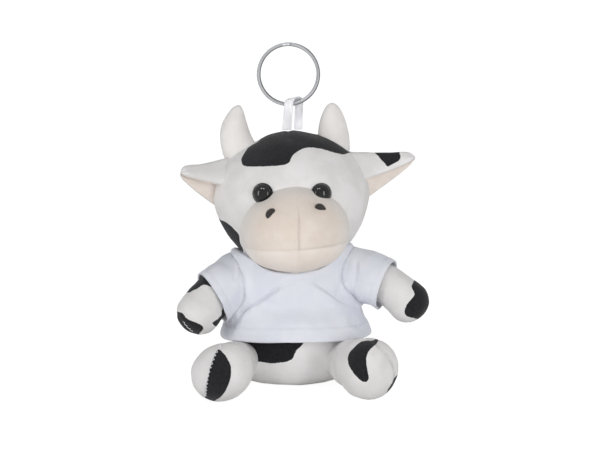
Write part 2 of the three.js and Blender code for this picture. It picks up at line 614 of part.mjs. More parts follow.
function sleeveForm(side, inset, extra = 0) {
  const curve = armCurve(side);
  const steps = 10;
  const frames = curve.computeFrenetFrames(steps, false);
  const first = Math.round(SLEEVE.start * steps);
  const last = Math.round(CUFF_AT[side] * steps);
  const cuff = ARM.wrist + SLEEVE.ease + JERSEY;
  const rings = [];
  for (let k = first; k <= last; k++) {
    const t = (k - first) / (last - first);
    const flare = lerp(ARM.root + SLEEVE.rootEase, SLEEVE.armhole, smoothstep(t, 0, SLEEVE.flareEnd));
    const radius = lerp(flare, cuff, smoothstep(t, SLEEVE.taperFrom, 1)) - inset;
    const push = k === last ? extra : k === first ? -extra : 0;
    const centre = curve.getPointAt(k / steps).addScaledVector(frames.tangents[k], push);
    rings.push(
      Array.from({ length: sleeveSides }, (_, i) => {
        const around = (2 * Math.PI * i) / sleeveSides;
        return centre
          .clone()
          .addScaledVector(frames.normals[k], radius * Math.cos(around))
          .addScaledVector(frames.binormals[k], radius * Math.sin(around));
      }),
    );
  }
  return skin(rings);
}

let shirt = shirtShell;
for (const side of ["left", "right"]) {
  const inside = sleeveForm(side, JERSEY, 0.5);
  const sleeve = sleeveForm(side, 0).subtract(inside).subtract(shirtPlus);
  place(toy, `sleeve_${side}`, largestPart(sleeve), "jersey");
  const arm = limb(armCurve(side), armRadii, -GAP);
  shirt = clearOf(shirt.subtract(inside), arm, armSeam(side), armAxis(side), [ARM.lower, 0, -ARM.raise]);
}
place(toy, "shirt", largestPart(shirt), "jersey");

// The ribbed band inside the neckline.
function collarSolid() {
  const level = (inside, drop) => shirtRing(NECKLINE, inside, drop);
  const outer = COLLAR.inside;
  const inner = outer + COLLAR.width;
  const low = COLLAR.thickness;
  return skin([level(outer, low), level(outer, 0), level(inner, 0), level(inner, low)], true);
}
place(toy, "collar", collarSolid(), "jersey");

// Ribbon: folded over the ring's wire, its two strands sewn into the crown by a bead of stitching

const wireRadius = RING.outerRadius - RING.wire / 2;
const ringDepth = 2 * RING.wireThickness + RING.coilGap;
const grip = degrees(RIBBON_GRIP);
const wireAt = v3(RING_CENTRE_X + wireRadius * Math.sin(grip), ribbonAxis.y, ribbonAxis.z + RIBBON_RISE);
const ringCentre = v3(RING_CENTRE_X, ribbonAxis.y, wireAt.z + wireRadius * Math.cos(grip));
const wireBow = wireRadius - Math.sqrt(wireRadius ** 2 - (RIBBON.width / 2) ** 2);
const bendRadius = Math.hypot(RING.wire, ringDepth) / 2 + wireBow + GAP + RIBBON.thickness / 2;

function ribbonSolid() {
  const { width, thickness, strandOffset, bead } = RIBBON;
  const stations = [];
  for (let k = 0; k <= 6; k++) {
    const t = k / 6;
    const y = lerp(thickness * 0.6, bendRadius, smoothstep(t, 0, 1));
    stations.push({ y, rise: RIBBON_RISE * t });
  }
  const over = [1, 2, 3, 4, 5, 6, 7].map((k) => {
    const a = (Math.PI / 8) * k;
    return { y: -bendRadius * Math.cos(a), rise: RIBBON_RISE + bendRadius * Math.sin(a) };
  });
  const front = stations.map((s) => ({ ...s, y: -s.y, strand: -1 }));
  const back = stations.map((s) => ({ ...s, strand: 1 })).reverse();
  const bend = over.map((s) => ({ ...s, strand: s.y / bendRadius }));
  const path = [...front, ...bend, ...back];
  const rings = path.map((s, k) => {
    const before = path[Math.max(k - 1, 0)];
    const after = path[Math.min(k + 1, path.length - 1)];
    const run = v3(0, after.y - before.y, after.rise - before.rise).normalize();
    const out = v3(0, -run.z, run.y);
    const share = Math.min(1, s.rise / RIBBON_RISE);
    const foot = (1 - share) * (strandOffset / 2) * s.strand;
    const x = lerp(ribbonAxis.x, wireAt.x, share) + foot;
    const centre = v3(x, ribbonAxis.y + s.y, ribbonAxis.z + s.rise);
    const wide = v3(Math.cos(grip * share), 0, Math.sin(grip * share));
    return [[-1, -1], [1, -1], [1, 1], [-1, 1]].map(([w, o]) =>
      centre
        .clone()
        .addScaledVector(wide, (w * width) / 2)
        .addScaledVector(out, (o * thickness) / 2),
    );
  });
  const stitched = shifted(rod(bead, width + strandOffset, 8).rotate([0, 0, 90]), ...ribbonAxis.toArray());
  return skin(rings).add(stitched);
}
place(toy, "ribbon", ribbonSolid(), "satin");

// Split ring: one flat wire wound twice, which changes layer where its two ends lie

const ringSteps = 36;

function ringStation(turn) {
  const jog = RING_JOG.angle / 360;
  const layer = smoothstep(turn, 1 - jog / 2, 1 + jog / 2) - 0.5;
  const angle = 2 * Math.PI * turn + degrees(RING_JOG.fromTop);
  const outwards = v3(Math.sin(angle), 0, Math.cos(angle));
  const pitch = RING.wireThickness + RING.coilGap;
  return { centre: outwards.clone().multiplyScalar(wireRadius).setY(layer * pitch), outwards };
}

function ringSolid() {
  const jog = RING_JOG.angle / 360;
  const first = jog / 2 + 0.004;
  const last = 2 - first;
  const rings = [];
  for (let k = 0; k <= 2 * ringSteps; k++) {
    const { centre, outwards } = ringStation(lerp(first, last, k / (2 * ringSteps)));
    const corner = (side, front) => {
      const point = centre.clone().addScaledVector(outwards, (side * RING.wire) / 2);
      return point.setY(point.y + (front * RING.wireThickness) / 2);
    };
    rings.push([corner(-1, -1), corner(1, -1), corner(1, 1), corner(-1, 1)]);
  }
  return skin(rings);
}

// The least clear distance between the ring's two coils, measured between points on their facing sides.
function leastCoilGap() {
  let least = Infinity;
  const places = 360;
  for (let k = 0; k < places; k++) {
    const near = ringStation(k / places).centre;
    const far = ringStation(1 + k / places).centre;
    const within = k / places > RING_JOG.angle / 720 && k / places < 1 - RING_JOG.angle / 720;
    if (within) least = Math.min(least, near.distanceTo(far) - RING.wireThickness);
  }
  return least;
}
console.log(`least gap between the split ring's coils: ${leastCoilGap().toFixed(2)} mm`);
place(toy, "split_ring", shifted(ringSolid(), ...ringCentre.toArray()), "nickel");

export default toy;
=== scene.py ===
import json
import math

import bmesh
import bpy
import numpy as np
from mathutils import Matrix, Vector
from mathutils.bvhtree import BVHTree


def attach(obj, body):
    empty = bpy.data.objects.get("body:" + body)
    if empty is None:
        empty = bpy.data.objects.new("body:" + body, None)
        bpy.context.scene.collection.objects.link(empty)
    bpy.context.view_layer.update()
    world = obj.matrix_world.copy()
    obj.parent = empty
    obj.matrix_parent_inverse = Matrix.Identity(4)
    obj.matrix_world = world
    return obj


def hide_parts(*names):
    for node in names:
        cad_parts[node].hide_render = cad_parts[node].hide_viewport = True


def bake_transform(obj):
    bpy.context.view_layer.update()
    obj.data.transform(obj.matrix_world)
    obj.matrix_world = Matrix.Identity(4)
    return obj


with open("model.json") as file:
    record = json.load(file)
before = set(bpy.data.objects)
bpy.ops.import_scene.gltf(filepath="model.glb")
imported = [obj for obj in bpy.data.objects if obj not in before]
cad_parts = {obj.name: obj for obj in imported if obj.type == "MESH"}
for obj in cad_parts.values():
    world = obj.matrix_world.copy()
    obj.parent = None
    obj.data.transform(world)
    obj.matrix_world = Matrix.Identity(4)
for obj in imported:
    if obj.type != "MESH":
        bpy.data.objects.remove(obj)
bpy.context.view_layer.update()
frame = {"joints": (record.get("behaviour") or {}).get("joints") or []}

SIDES = {"left": -1, "right": 1}

# Sizes of the part
PLUSH, JERSEY, LINING, GAP = 1.2, 0.8, 0.8, 0.3
BODY = dict(a=24, b=20.4, up=33.5, down=13.5, square_up=2.6, square_down=3.6)
BODY_WIDEST = 13
NECK_HEIGHT, NECK_RADIUS = 44, 12
HEAD = dict(a=31, b=24.5, up=26.8, down=30, square_up=1.9, square_down=1.9)
HEAD_AT, HEAD_ROLL, HEAD_YAW = np.array([-0.1, 0, 73.9]), 3.2, 2.5
MUZZLE = dict(a=21, b=20, up=17.5, down=17, square_up=1.75, square_down=2.4)
MUZZLE_AT, MOUTH = np.array([0, -18, -9.9]), -15.9
MUZZLE_SEAM, SEAM_LEAN = (1.2, 0, -2), 0.048
EYE_RADIUS, EYE_DOME, EYE_STEM, EYE_LENGTH, EYE_SUNK = 4, 3, 1.4, 7.5, 0.2
EYE_AT = {"left": (-11.8, 4.6), "right": (10.8, 3.3)}
EYE_PRESS = {"left": 0.5, "right": 1.0}
NOSTRIL = dict(length=2.2, width=1.7, thickness=0.6, lean={"left": 38, "right": 58})
NOSTRIL_AT = {"left": (-9.5, -1.8), "right": (9.8, -0.7)}
HORN = dict(a=6.6, b=4.7, up=17.8, down=6, square_up=2, square_down=2)
HORN_AT = {"left": (-20, 1, 20), "right": (18, 1, 18.8)}
HORN_SHAPE = {"left": (0.14, 0.9, -1.5, 1.4), "right": (0.05, 0, 0, 0.3)}  # slimmer, leaning, bowed, wider at the root
EAR = dict(sunk=3, fold=2.7, back=21.5, front_tilt=20, back_tilt=10)
EAR_FRONT = {"left": 10.9, "right": 11.2}
EAR_LENGTH = {"left": 22.4, "right": 23.6}
EAR_TOP = {"left": 14.9, "right": 14.2}
EAR_FORWARD = {"left": 38, "right": 6}
EAR_DROOP = 1.4
ARM_RADII, ARM_SEAM = {"left": (5.7, 6.5, 8.6, 8.6), "right": (6.1, 7.2, 7.7, 8.5)}, (18.6, -1, 39.6)
ARM_BEND, ARM_STEPS = {"left": (-26.8, -6.5, 42), "right": (30, -4, 48)}, 70
HAND_AT = {"left": (-36.5, -17, 30), "right": (46.1, -8, 33)}
LEG_RADII, LEG_SEAM = {"left": (7.6, 9, 11.8), "right": (7.6, 9.8, 11.9)}, (20, -13.5, 10.5)
FOOT_AT = {"left": (-26.2, -36.5, 11.6), "right": (28.9, -32.8, 11.6)}
SHIRT = {  # from the hem to the shoulder
    "height": (20.3, 27, 34, 41, 45.6),
    "a": (30.4, 27.5, 25.3, 24, 23.2),
    "b": (26.5, 24, None, None, 20),
    "x": (1.4, 1.3, 0.8, 0, 0),
    "saddle": (-1.5, 0, 0, 0, 4.8),
    "front": (0, 0, 0, 0, 0.2),
}
NECKLINE = dict(height=45.4, a=14.6, b=17.6, saddle=4.5, front=0.8, back=3.4)
SHOULDER = dict(height=45.8, a=23.4, b=20, saddle=9.1, front=1.2, back=1.6)
HEAD_NODS, HEAD_TIPS = 0.024, 0.2  # how far the head comes down in front of its joint and behind it, per millimetre
SLEEVE_FROM, SLEEVE_TO, ARMHOLE_OUT = 0.1, 0.7, 1.5
GIRTH = (25, 22)  # about half the shirt's width and depth
SLEEVE_ABOVE = {"left": (12.6, 10.4, 10.1), "right": (13.8, 10.5, 9.6)}
SLEEVE_BELOW = {"left": (9.1, 11.8, 11.2), "right": (9.1, 11.4, 10.3)}
CUFFS = {  # the middle of each opening, and the way it faces
    "left": ((-31.9, -10, 35.2), (-0.83, -0.34, -0.44)),
    "right": ((38.3, -5, 40.4), (0.9, -0.33, -0.29)),
}
RING = dict(outer=12.5, wire=1.5, thick=0.78, gap=0.45, jog=17, from_top=-4)
RIBBON = dict(width=5.6, thick=0.5, root=1.8, rise=10.3, grip=10.6, ring_x=-1.35)

# The camera that took the photograph: its tilt, its distance from the point it looks at, and its picture in pixels
CAMERA_TILT, CAMERA_FAR, LOOKS_AT = math.radians(8), 600, (3.2, 0, 62.5)
PICTURE, FOCAL, SENSOR = (600, 450), 1500, 36
CAMERA_AT = np.array(LOOKS_AT) + CAMERA_FAR * np.array([0, -math.cos(CAMERA_TILT), math.sin(CAMERA_TILT)])
PIXEL = 0.39  # millimetres at the toy


# Numbers and shapes

def lerp(a, b, t):
    return a + (b - a) * t


def smooth(x, low, high):
    t = np.clip((np.asarray(x, float) - low) / (high - low), 0, 1)
    return t * t * (3 - 2 * t)


def unit(v):
    v = np.asarray(v, float)
    return v / np.maximum(np.linalg.norm(v, axis=-1, keepdims=True), 1e-12)


def bump(distance, width):
    """1 at no distance, falling off over about a width."""
    return np.exp(-((np.asarray(distance) / width) ** 2))


def turns(n):
    """n angles evenly round a circle."""
    return np.arange(n) * 2 * math.pi / n


def reached(path):
    """The length of a path up to each of its points."""
    return np.concatenate([[0], np.cumsum(np.linalg.norm(np.diff(path, axis=0), axis=1))])


def between(table, u, v):
    """A table read between its points, at rows u and columns v."""
    i, j = u.astype(int), v.astype(int)
    s, t = u - i, v - j
    low = table[i, j] * (1 - s) + table[i + 1, j] * s
    return low * (1 - t) + (table[i, j + 1] * (1 - s) + table[i + 1, j + 1] * s) * t


def turn_about(axis, angle):
    x, y, z = unit(axis)
    c, s = math.cos(math.radians(angle)), math.sin(math.radians(angle))
    cross = np.array([[0, -z, y], [z, 0, -x], [-y, x, 0]])
    return np.eye(3) * c + cross * s + (1 - c) * np.outer([x, y, z], [x, y, z])


HEAD_TURN = turn_about((0, 1, 0), -HEAD_ROLL) @ turn_about((0, 0, 1), HEAD_YAW)


def from_head(points):
    """Points in the head's own frame, brought into the row frame."""
    return np.asarray(points, float) @ HEAD_TURN.T + HEAD_AT


def ripple(points, size, seed):
    """Soft random waves of about one size, from -1 to 1."""
    rng = np.random.default_rng(seed)
    waves = unit(rng.normal(size=(7, 3))) * (2 * math.pi / size) * rng.uniform(0.6, 1.5, (7, 1))
    return np.sin(points @ waves.T + rng.uniform(0, 6.3, 7)).sum(1) / 4


def skin(rings, loop=False):
    """Points and faces over rings of points. A ring of one point closes its end."""
    starts = np.cumsum([0] + [len(r) for r in rings])
    faces = []
    pairs = len(rings) if loop else len(rings) - 1
    for k in range(pairs):
        m = (k + 1) % len(rings)
        low, high, n = starts[k], starts[m], max(len(rings[k]), len(rings[m]))
        for i in range(n):
            j = (i + 1) % n
            if len(rings[k]) == 1:
                faces.append((low, high + j, high + i))
            elif len(rings[m]) == 1:
                faces.append((low + i, low + j, high))
            else:
                faces.append((low + i, low + j, high + j, high + i))
    return np.vstack(rings), faces


def capped(rings):
    """Points and faces over rings, closed at both ends in the middle of the last ring."""
    return skin([rings[0].mean(0)[None]] + rings + [rings[-1].mean(0)[None]])


def egg(a, b, up, down, square_up, square_down, around, bands):
    """An egg of its own half widths, heights and squareness above and below its middle."""
    rings = [np.array([[0, 0, -down]])]
    angle = turns(around)
    for k in range(1 - bands, bands):
        turn = math.pi / 2 * k / bands
        square, reach = (square_up, up) if turn > 0 else (square_down, down)
        z = math.copysign(reach * abs(math.sin(turn)) ** (2 / square), turn)
        share = math.cos(turn) ** (2 / square)
        rings.append(np.stack([a * share * np.cos(angle), b * share * np.sin(angle), np.full(around, z)], 1))
    return skin(rings + [np.array([[0, 0, up]])])


def normals_of(points, faces):
    """Normals at the points, from the faces round them."""
    corners = np.array([(f[0], f[1], f[2], f[-1]) for f in faces])
    p = points[corners]
    flat = np.cross(p[:, 2] - p[:, 0], p[:, 3] - p[:, 1])
    total = np.zeros_like(points)
    for k in range(4):
        np.add.at(total, corners[:, k], flat)
    return unit(total)


def to_line(points, line):
    """How far each point is from a line through other points, and how far along that line, from 0 to 1."""
    line = np.asarray(line, float)
    a, d = line[:-1], np.diff(line, axis=0)
    lengths = np.linalg.norm(d, axis=1)
    before = reached(line)
    best, along = np.full(len(points), np.inf), np.zeros(len(points))
    for k in range(len(a)):
        t = np.clip((points - a[k]) @ d[k] / max(lengths[k] ** 2, 1e-12), 0, 1)
        far = np.linalg.norm(points - a[k] - t[:, None] * d[k], axis=1)
        nearer = far < best
        best = np.where(nearer, far, best)
        along = np.where(nearer, before[k] + t * lengths[k], along)
    return best, along / lengths.sum()


def curve_through(points, n, closed=False):
    """n points on a smooth line through the given ones."""
    p = np.asarray(points, float)
    m = len(p)
    p = np.vstack([p[-1], p, p[:2]]) if closed else np.vstack([2 * p[0] - p[1], p, 2 * p[-1] - p[-2]])
    spans = m if closed else m - 1
    u = np.linspace(0, spans, n, endpoint=not closed)
    k = np.minimum(u.astype(int), spans - 1)
    t = (u - k)[:, None]
    a, b, c, d = p[k], p[k + 1], p[k + 2], p[k + 3]
    return 0.5 * (2 * b + (c - a) * t + (2 * a - 5 * b + 4 * c - d) * t**2 + (3 * b - a - 3 * c + d) * t**3)


def rings_along(centres, radii, ways, first, around):
    """Rings of points round a line, without a twist."""
    angle, rings = turns(around), []
    for centre, radius, way in zip(centres, radii, ways):
        first = unit(first - way * (first @ way))
        rings.append(centre + radius * (np.cos(angle)[:, None] * first + np.sin(angle)[:, None] * np.cross(way, first)))
    return rings


def closed_tube(line, radius, around=6):
    line = np.asarray(line, float)
    ways = unit(np.gradient(line, axis=0))
    return capped(rings_along(line, [radius] * len(line), ways, unit(np.cross(ways[0], (0.3, 0.2, 0.9))), around))


def joined(parts):
    """Several pieces of points and faces as one."""
    points, faces, start = [], [], 0
    for p, f in parts:
        points.append(p)
        faces += [tuple(int(i) + start for i in face) for face in f]
        start += len(p)
    return np.vstack(points), faces


# Marks on the cloth: where it is black, and where a seam draws it in and shade is painted

def chart(points, origin, towards):
    """Degrees across and up from a direction, of points seen from an origin."""
    ahead = unit(towards)
    across = unit(np.cross((0, 0, 1), ahead))
    up = np.cross(ahead, across)
    d = unit(points - np.array(origin, float))
    angle = np.degrees(np.arccos(np.clip(d @ ahead, -1, 1)))
    around = np.arctan2(d @ up, d @ across)
    return np.stack([angle * np.cos(around), angle * np.sin(around)], 1)


def inside_by(flat, outline):
    """How far points of a plane are inside an outline; outside it is below 0."""
    line = curve_through(outline, 8 * len(outline), closed=True)
    line = np.vstack([line, line[:1]])
    far = to_line(flat, line)[0]
    (x, y), within = flat.T, np.zeros(len(flat), bool)
    for (ax, ay), (bx, by) in zip(line[:-1], line[1:]):
        crosses = (ay > y) != (by > y)
        if ay != by:
            within ^= crosses & (x < (bx - ax) * (y - ay) / (by - ay) + ax)
    return np.where(within, far, -far)


def in_view(points):
    """Where the camera sees points, in pixels of its picture."""
    c, s = math.cos(CAMERA_TILT), math.sin(CAMERA_TILT)
    r = points - CAMERA_AT
    deep = r @ np.array([0, c, -s])
    across, up = r[:, 0] / deep, (r @ np.array([0, s, c])) / deep
    return np.stack([PICTURE[0] / 2 + FOCAL * across, PICTURE[1] / 2 - FOCAL * up], 1)


def spots_on(points, spots):
    """How deep in a black patch each point is, in millimetres; outside them all it is below 0.
    A patch is an outline in degrees round an origin, or as the camera sees it, back to a depth."""
    best = np.full(len(points), -9.0)
    for *place, outline in spots:
        if len(place) == 3:
            origin, towards, radius = place
            inside = inside_by(chart(points, origin, towards), outline) * math.radians(1) * radius
        else:
            inside = np.minimum(inside_by(in_view(points), outline) * PIXEL, place[0] - points[:, 1])
        best = np.maximum(best, inside)
    return best


HEAD_SPOTS = [
    (10, [
        (352.5, 152.5), (348, 153.2), (342.5, 154.4), (330, 151.4), (320, 148.7), (307, 147.5), (298, 151.4),
        (292, 156.7), (289, 162.8), (282, 165.2), (273, 166), (258, 166.6), (244.6, 166), (241.6, 162), (242, 157.5),
        (247.7, 148.3), (257, 142.5), (262, 137), (268, 129), (278, 122), (290, 118), (310, 118), (330, 126),
        (345, 138), (356, 149),
    ]),
    (6, [
        (218, 218.5), (221, 220), (225, 221.6), (230, 225), (233.8, 228.8), (237.5, 232.5), (239.4, 236),
        (240.2, 242.4), (243.5, 251.5), (238, 262), (208, 250), (206, 225),
    ]),
    (HEAD_AT, (0.25, 0.95, 0.1), 25, [
        (-26, 10), (-14, 22), (2, 24), (14, 14), (30, 12), (34, -4), (20, -16), (4, -10), (-14, -22), (-30, -12),
    ]),
    (HEAD_AT, (-0.75, 0.6, 0.2), 27, [(-12, 10), (0, 14), (12, 8), (14, -6), (2, -14), (-12, -8)]),
]


# Making pieces

def make(name, points, faces, material, body=None, **values):
    """A smooth mesh of points in millimetres, with a value or vector at each point for each name given."""
    mesh = bpy.data.meshes.new(name)
    mesh.from_pydata((np.asarray(points) * 0.001).tolist(), [], [tuple(int(i) for i in f) for f in faces])
    mesh.validate()
    edit = bmesh.new()
    edit.from_mesh(mesh)
    bmesh.ops.recalc_face_normals(edit, faces=edit.faces)
    edit.to_mesh(mesh)
    edit.free()
    mesh.polygons.foreach_set("use_smooth", [True] * len(mesh.polygons))
    for key, value in values.items():
        value = np.asarray(value, np.float32)
        kind, slot = ("FLOAT_VECTOR", "vector") if value.ndim == 2 else ("FLOAT", "value")
        mesh.attributes.new(key, kind, "POINT").data.foreach_set(slot, value.ravel())
    piece = bpy.data.objects.new(name, mesh)
    bpy.context.scene.collection.objects.link(piece)
    mesh.materials.append(material)
    if body:
        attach(piece, body)
    return piece


def soft(name, points, faces, material, body, nodes, spots=(), seams=(), lumps=0.25, seed=1):
    """A stuffed piece: its cloth is drawn in at the seams, with painted shade in their grooves, slightly uneven, and
    black inside the spots.
    """
    rest = normals_of(points, faces)
    drawn = np.zeros(len(points))
    for line, depth, width in seams:
        drawn = np.maximum(drawn, depth * bump(to_line(points, line)[0], width))
    # how deep in a seam's groove each point is: as the seam value it paints shade there, and it quiets the lumps
    mark = np.clip(drawn / max([s[1] for s in seams], default=1), 0, 1) ** 3
    uneven = lumps * ripple(points, 16, seed) + 0.4 * lumps * ripple(points, 6, seed + 1)
    shaped = points + rest * (uneven * (1 - mark) - drawn)[:, None]
    shaped[:, 2] = on_floor(shaped[:, 2])
    piece = make(name, shaped, faces, material, body, spot=spots_on(points, spots), seam=mark)
    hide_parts(*nodes)
    return piece


def on_floor(z):
    """Heights pressed flat where they would go through the floor."""
    return np.where(z < 1, 0.5 * (z + np.sqrt(z * z + 0.09)), z)


def crown_at(x):
    """How high the head's top is at x, in its own frame."""
    square = HEAD["square_up"]
    return HEAD["up"] * (1 - (abs(x) / HEAD["a"]) ** square) ** (1 / square)


def half_width(z):
    """About half the head's width at a height in its own frame."""
    return HEAD["a"] * math.sqrt(1 - (z / HEAD["up"]) ** 2)


def on_face(x, z):
    """The point of the head's front at x and z in its own frame, and the way its surface faces there."""
    c, square = (HEAD["up"], HEAD["square_up"]) if z > 0 else (HEAD["down"], HEAD["square_down"])
    share = (1 - abs(z / c) ** square) ** (1 / square)
    y = -HEAD["b"] * math.sqrt(share**2 - (x / HEAD["a"]) ** 2)
    return np.array([x, y, z]), unit([x / HEAD["a"] ** 2, y / HEAD["b"] ** 2, z / c**2])


def on_muzzle(x, z):
    """The point of the muzzle's front at x and z in the head's frame, and the way its surface faces there."""
    def y_at(px, pz):
        half = "up" if pz > MUZZLE_AT[2] else "down"
        up, square = MUZZLE[half], MUZZLE[f"square_{half}"]
        share = (1 - abs((pz - MUZZLE_AT[2]) / up) ** square) ** (1 / square)
        return MUZZLE_AT[1] - MUZZLE["b"] * share * math.sqrt(max(0, 1 - (px / (MUZZLE["a"] * share)) ** 2))
    y = y_at(x, z)
    return np.array([x, y, z]), unit([(y_at(x + 0.5, z) - y) / 0.5, -1, (y_at(x, z + 0.5) - y) / 0.5])


# Materials

class Look:
    """A material's node tree, built a few nodes at a time round one Principled shader."""

    def __init__(self, name, **values):
        self.material = bpy.data.materials.new(name)
        self.material.use_nodes = True
        self.tree = self.material.node_tree
        self.shader = self.tree.nodes["Principled BSDF"]
        for socket, value in values.items():
            self.shader.inputs[socket.replace("_", " ")].default_value = value
        self.place = self.node("TexCoord").outputs["Object"]

    def node(self, kind, **settings):
        made = self.tree.nodes.new("ShaderNode" + kind)
        for key, value in settings.items():
            setattr(made, key, value)
        return made

    def feed(self, socket, value):
        if isinstance(value, bpy.types.NodeSocket):
            self.tree.links.new(value, socket)
        else:
            socket.default_value = value

    def noise(self, size, detail=2.0, rough=0.5, stretch=(1, 1, 1), where=None):
        """Noise whose grains are about size metres across."""
        scaled = self.node("Mapping")
        scaled.inputs["Scale"].default_value = stretch
        self.feed(scaled.inputs["Vector"], where or self.place)
        made = self.node("TexNoise")
        made.inputs["Scale"].default_value = 1 / size
        made.inputs["Detail"].default_value = detail
        made.inputs["Roughness"].default_value = rough
        self.feed(made.inputs["Vector"], scaled.outputs["Vector"])
        return made.outputs["Fac"]

    def value(self, name, vector=False):
        return self.node("Attribute", attribute_name=name).outputs["Vector" if vector else "Fac"]

    def sums(self, operation, a, b, c=None):
        made = self.node("Math", operation=operation)
        for socket, value in zip(made.inputs, (a, b, c)):
            if value is not None:
                self.feed(socket, value)
        return made.outputs["Value"]

    def plus(self, a, b):
        return self.sums("ADD", a, b)

    def times(self, a, b):
        return self.sums("MULTIPLY", a, b)

    def wave(self, value, size, offset=0):
        """A sine that repeats every size of a value."""
        turned = self.times(value, 2 * math.pi / size)
        return self.sums("SINE", self.plus(turned, offset), 0)

    def weave(self):
        """How far across and along its cloth a point is, in millimetres."""
        parts = self.node("SeparateXYZ")
        self.feed(parts.inputs[0], self.value("weave", vector=True))
        return parts.outputs["X"], parts.outputs["Y"]

    def ramp(self, value, low, high, to_low=0.0, to_high=1.0):
        made = self.node("MapRange", interpolation_type="SMOOTHSTEP")
        settings = {"Value": value, "From Min": low, "From Max": high, "To Min": to_low, "To Max": to_high}
        for key, v in settings.items():
            self.feed(made.inputs[key], v)
        return made.outputs["Result"]

    def mix(self, share, a, b, blend="MIX"):
        made = self.node("Mix", data_type="RGBA", blend_type=blend)
        self.feed(made.inputs["Factor"], share)
        for socket, value in ((made.inputs[6], a), (made.inputs[7], b)):
            self.feed(socket, (*value, 1) if isinstance(value, tuple) else value)
        return made.outputs[2]

    def shades(self, noise, a, b):
        """Two close colours, mottled by a noise."""
        return self.mix(self.ramp(noise, 0.35, 0.65), a, b)

    def bumped(self, height, distance, strength=1.0, onto=None):
        made = self.node("Bump")
        made.inputs["Strength"].default_value = strength
        made.inputs["Distance"].default_value = distance
        self.feed(made.inputs["Height"], height)
        if onto:
            self.feed(made.inputs["Normal"], onto)
        return made.outputs["Normal"]

    def done(self, colour=None, normal=None, roughness=None):
        for socket, value in (("Base Color", colour), ("Normal", normal), ("Roughness", roughness)):
            if value is not None:
                self.feed(self.shader.inputs[socket], value)
        return self.material


def rgb(r, g, b):
    """A colour as screens show it, as the light it stands for."""
    return tuple(c / 12.92 if c <= 0.04045 else ((c + 0.055) / 1.055) ** 2.4 for c in (r / 255, g / 255, b / 255))


def plush(name, pale, shade, spotted=False, rim=None):
    """Short-pile plush: fine fibres that catch the light, soft mottling, painted shade in the seams, black where
    printed.
    """
    look = Look(name, Roughness=0.92, Sheen_Weight=0.12, Sheen_Roughness=0.55, Specular_IOR_Level=0.15)
    pile = look.noise(0.00032, 3, 0.65, (1, 1, 0.45))
    tuft = look.noise(0.0011, 2, 0.5)
    cloud = look.noise(0.009, 2, 0.5)
    colour = look.shades(cloud, shade, pale)
    if rim:
        colour = look.mix(look.value("rim"), colour, rim)
    depth = look.ramp(look.plus(pile, tuft), 0.7, 1.2)
    colour = look.mix(look.times(look.sums("SUBTRACT", 1, depth), 0.07), colour, shade, "MULTIPLY")
    # painted shade: the cloth darkened towards grey brown where the seam value says a seam draws it in
    colour = look.mix(look.times(look.value("seam"), 0.35), colour, rgb(120, 112, 106))
    if spotted:
        edge = look.sums("MULTIPLY_ADD", look.noise(0.0005, 2, 0.6), 0.5, -0.25)
        black = look.ramp(look.plus(look.value("spot"), edge), -0.09, 0.09)
        inked = look.mix(depth, rgb(27, 27, 30), rgb(36, 36, 39))
        colour = look.mix(black, colour, inked)
    normal = look.bumped(tuft, 0.0003, 0.25)
    return look.done(colour, look.bumped(pile, 0.00025, 0.45, normal))


def jersey(name):
    """Fine knitted jersey: wales and courses follow the cloth, with a faint unevenness of the yarn, and painted shade
    along the armhole seams.
    """
    look = Look(name, Roughness=0.85, Sheen_Weight=0.15, Sheen_Roughness=0.45, Specular_IOR_Level=0.2)
    x, y = look.weave()
    across = look.wave(x, 0.62)
    rows = look.wave(y, 0.5, look.times(look.sums("ABSOLUTE", across, 0), 0.9))
    knit = look.plus(look.times(across, 0.6), look.times(rows, 0.4))
    fuzz = look.noise(0.0004, 3, 0.6)
    cloud = look.noise(0.012, 2, 0.5)
    colour = look.shades(cloud, rgb(226, 229, 238), rgb(232, 234, 241))
    colour = look.mix(look.ramp(knit, -1, 1, 0.08, 0.0), colour, rgb(190, 195, 210))
    # painted shade: a blue grey along the armhole seams, from the seam value
    colour = look.mix(look.times(look.value("seam"), 0.16), colour, rgb(150, 155, 172))
    normal = look.bumped(fuzz, 0.0002, 0.15)
    return look.done(colour, look.bumped(knit, 0.00012, 0.35, normal))


def thread(name, light, dark):
    """Twisted sewing thread."""
    look = Look(name, Roughness=0.6, Sheen_Weight=0.2, Specular_IOR_Level=0.3)
    twist = look.noise(0.00022, 2, 0.5, (1, 1, 2.5))
    return look.done(look.shades(twist, dark, light), look.bumped(twist, 0.0001, 0.5))


def satin(name):
    """Woven satin ribbon: long floats along its length that shine across, with firmer edges; its edges are painted a
    lavender shade, and its white is painted lighter where a sheen noise is high.
    """
    look = Look(name, Roughness=0.38, Specular_IOR_Level=0.5, Sheen_Weight=0.2, Anisotropic=0.4)
    x, y = look.weave()
    selvedge_and_shade = look.ramp(look.sums("ABSOLUTE", x, 0), 2.35, 2.6)
    sheen = look.noise(0.0035, 2, 0.5, (2, 2, 0.5))
    # painted sheen: the white is lighter where the sheen noise is high
    colour = look.shades(sheen, rgb(246, 245, 251), rgb(253, 253, 255))
    # painted shade: the ribbon's edges tinted lavender
    colour = look.mix(look.times(selvedge_and_shade, 0.25), colour, rgb(214, 212, 230))
    weave = look.plus(look.times(look.wave(x, 0.22), 0.35), look.times(look.wave(y, 0.35), selvedge_and_shade))
    rough = look.ramp(sheen, 0.3, 0.7, 0.32, 0.46)
    return look.done(colour, look.bumped(weave, 0.00006, 0.5), rough)


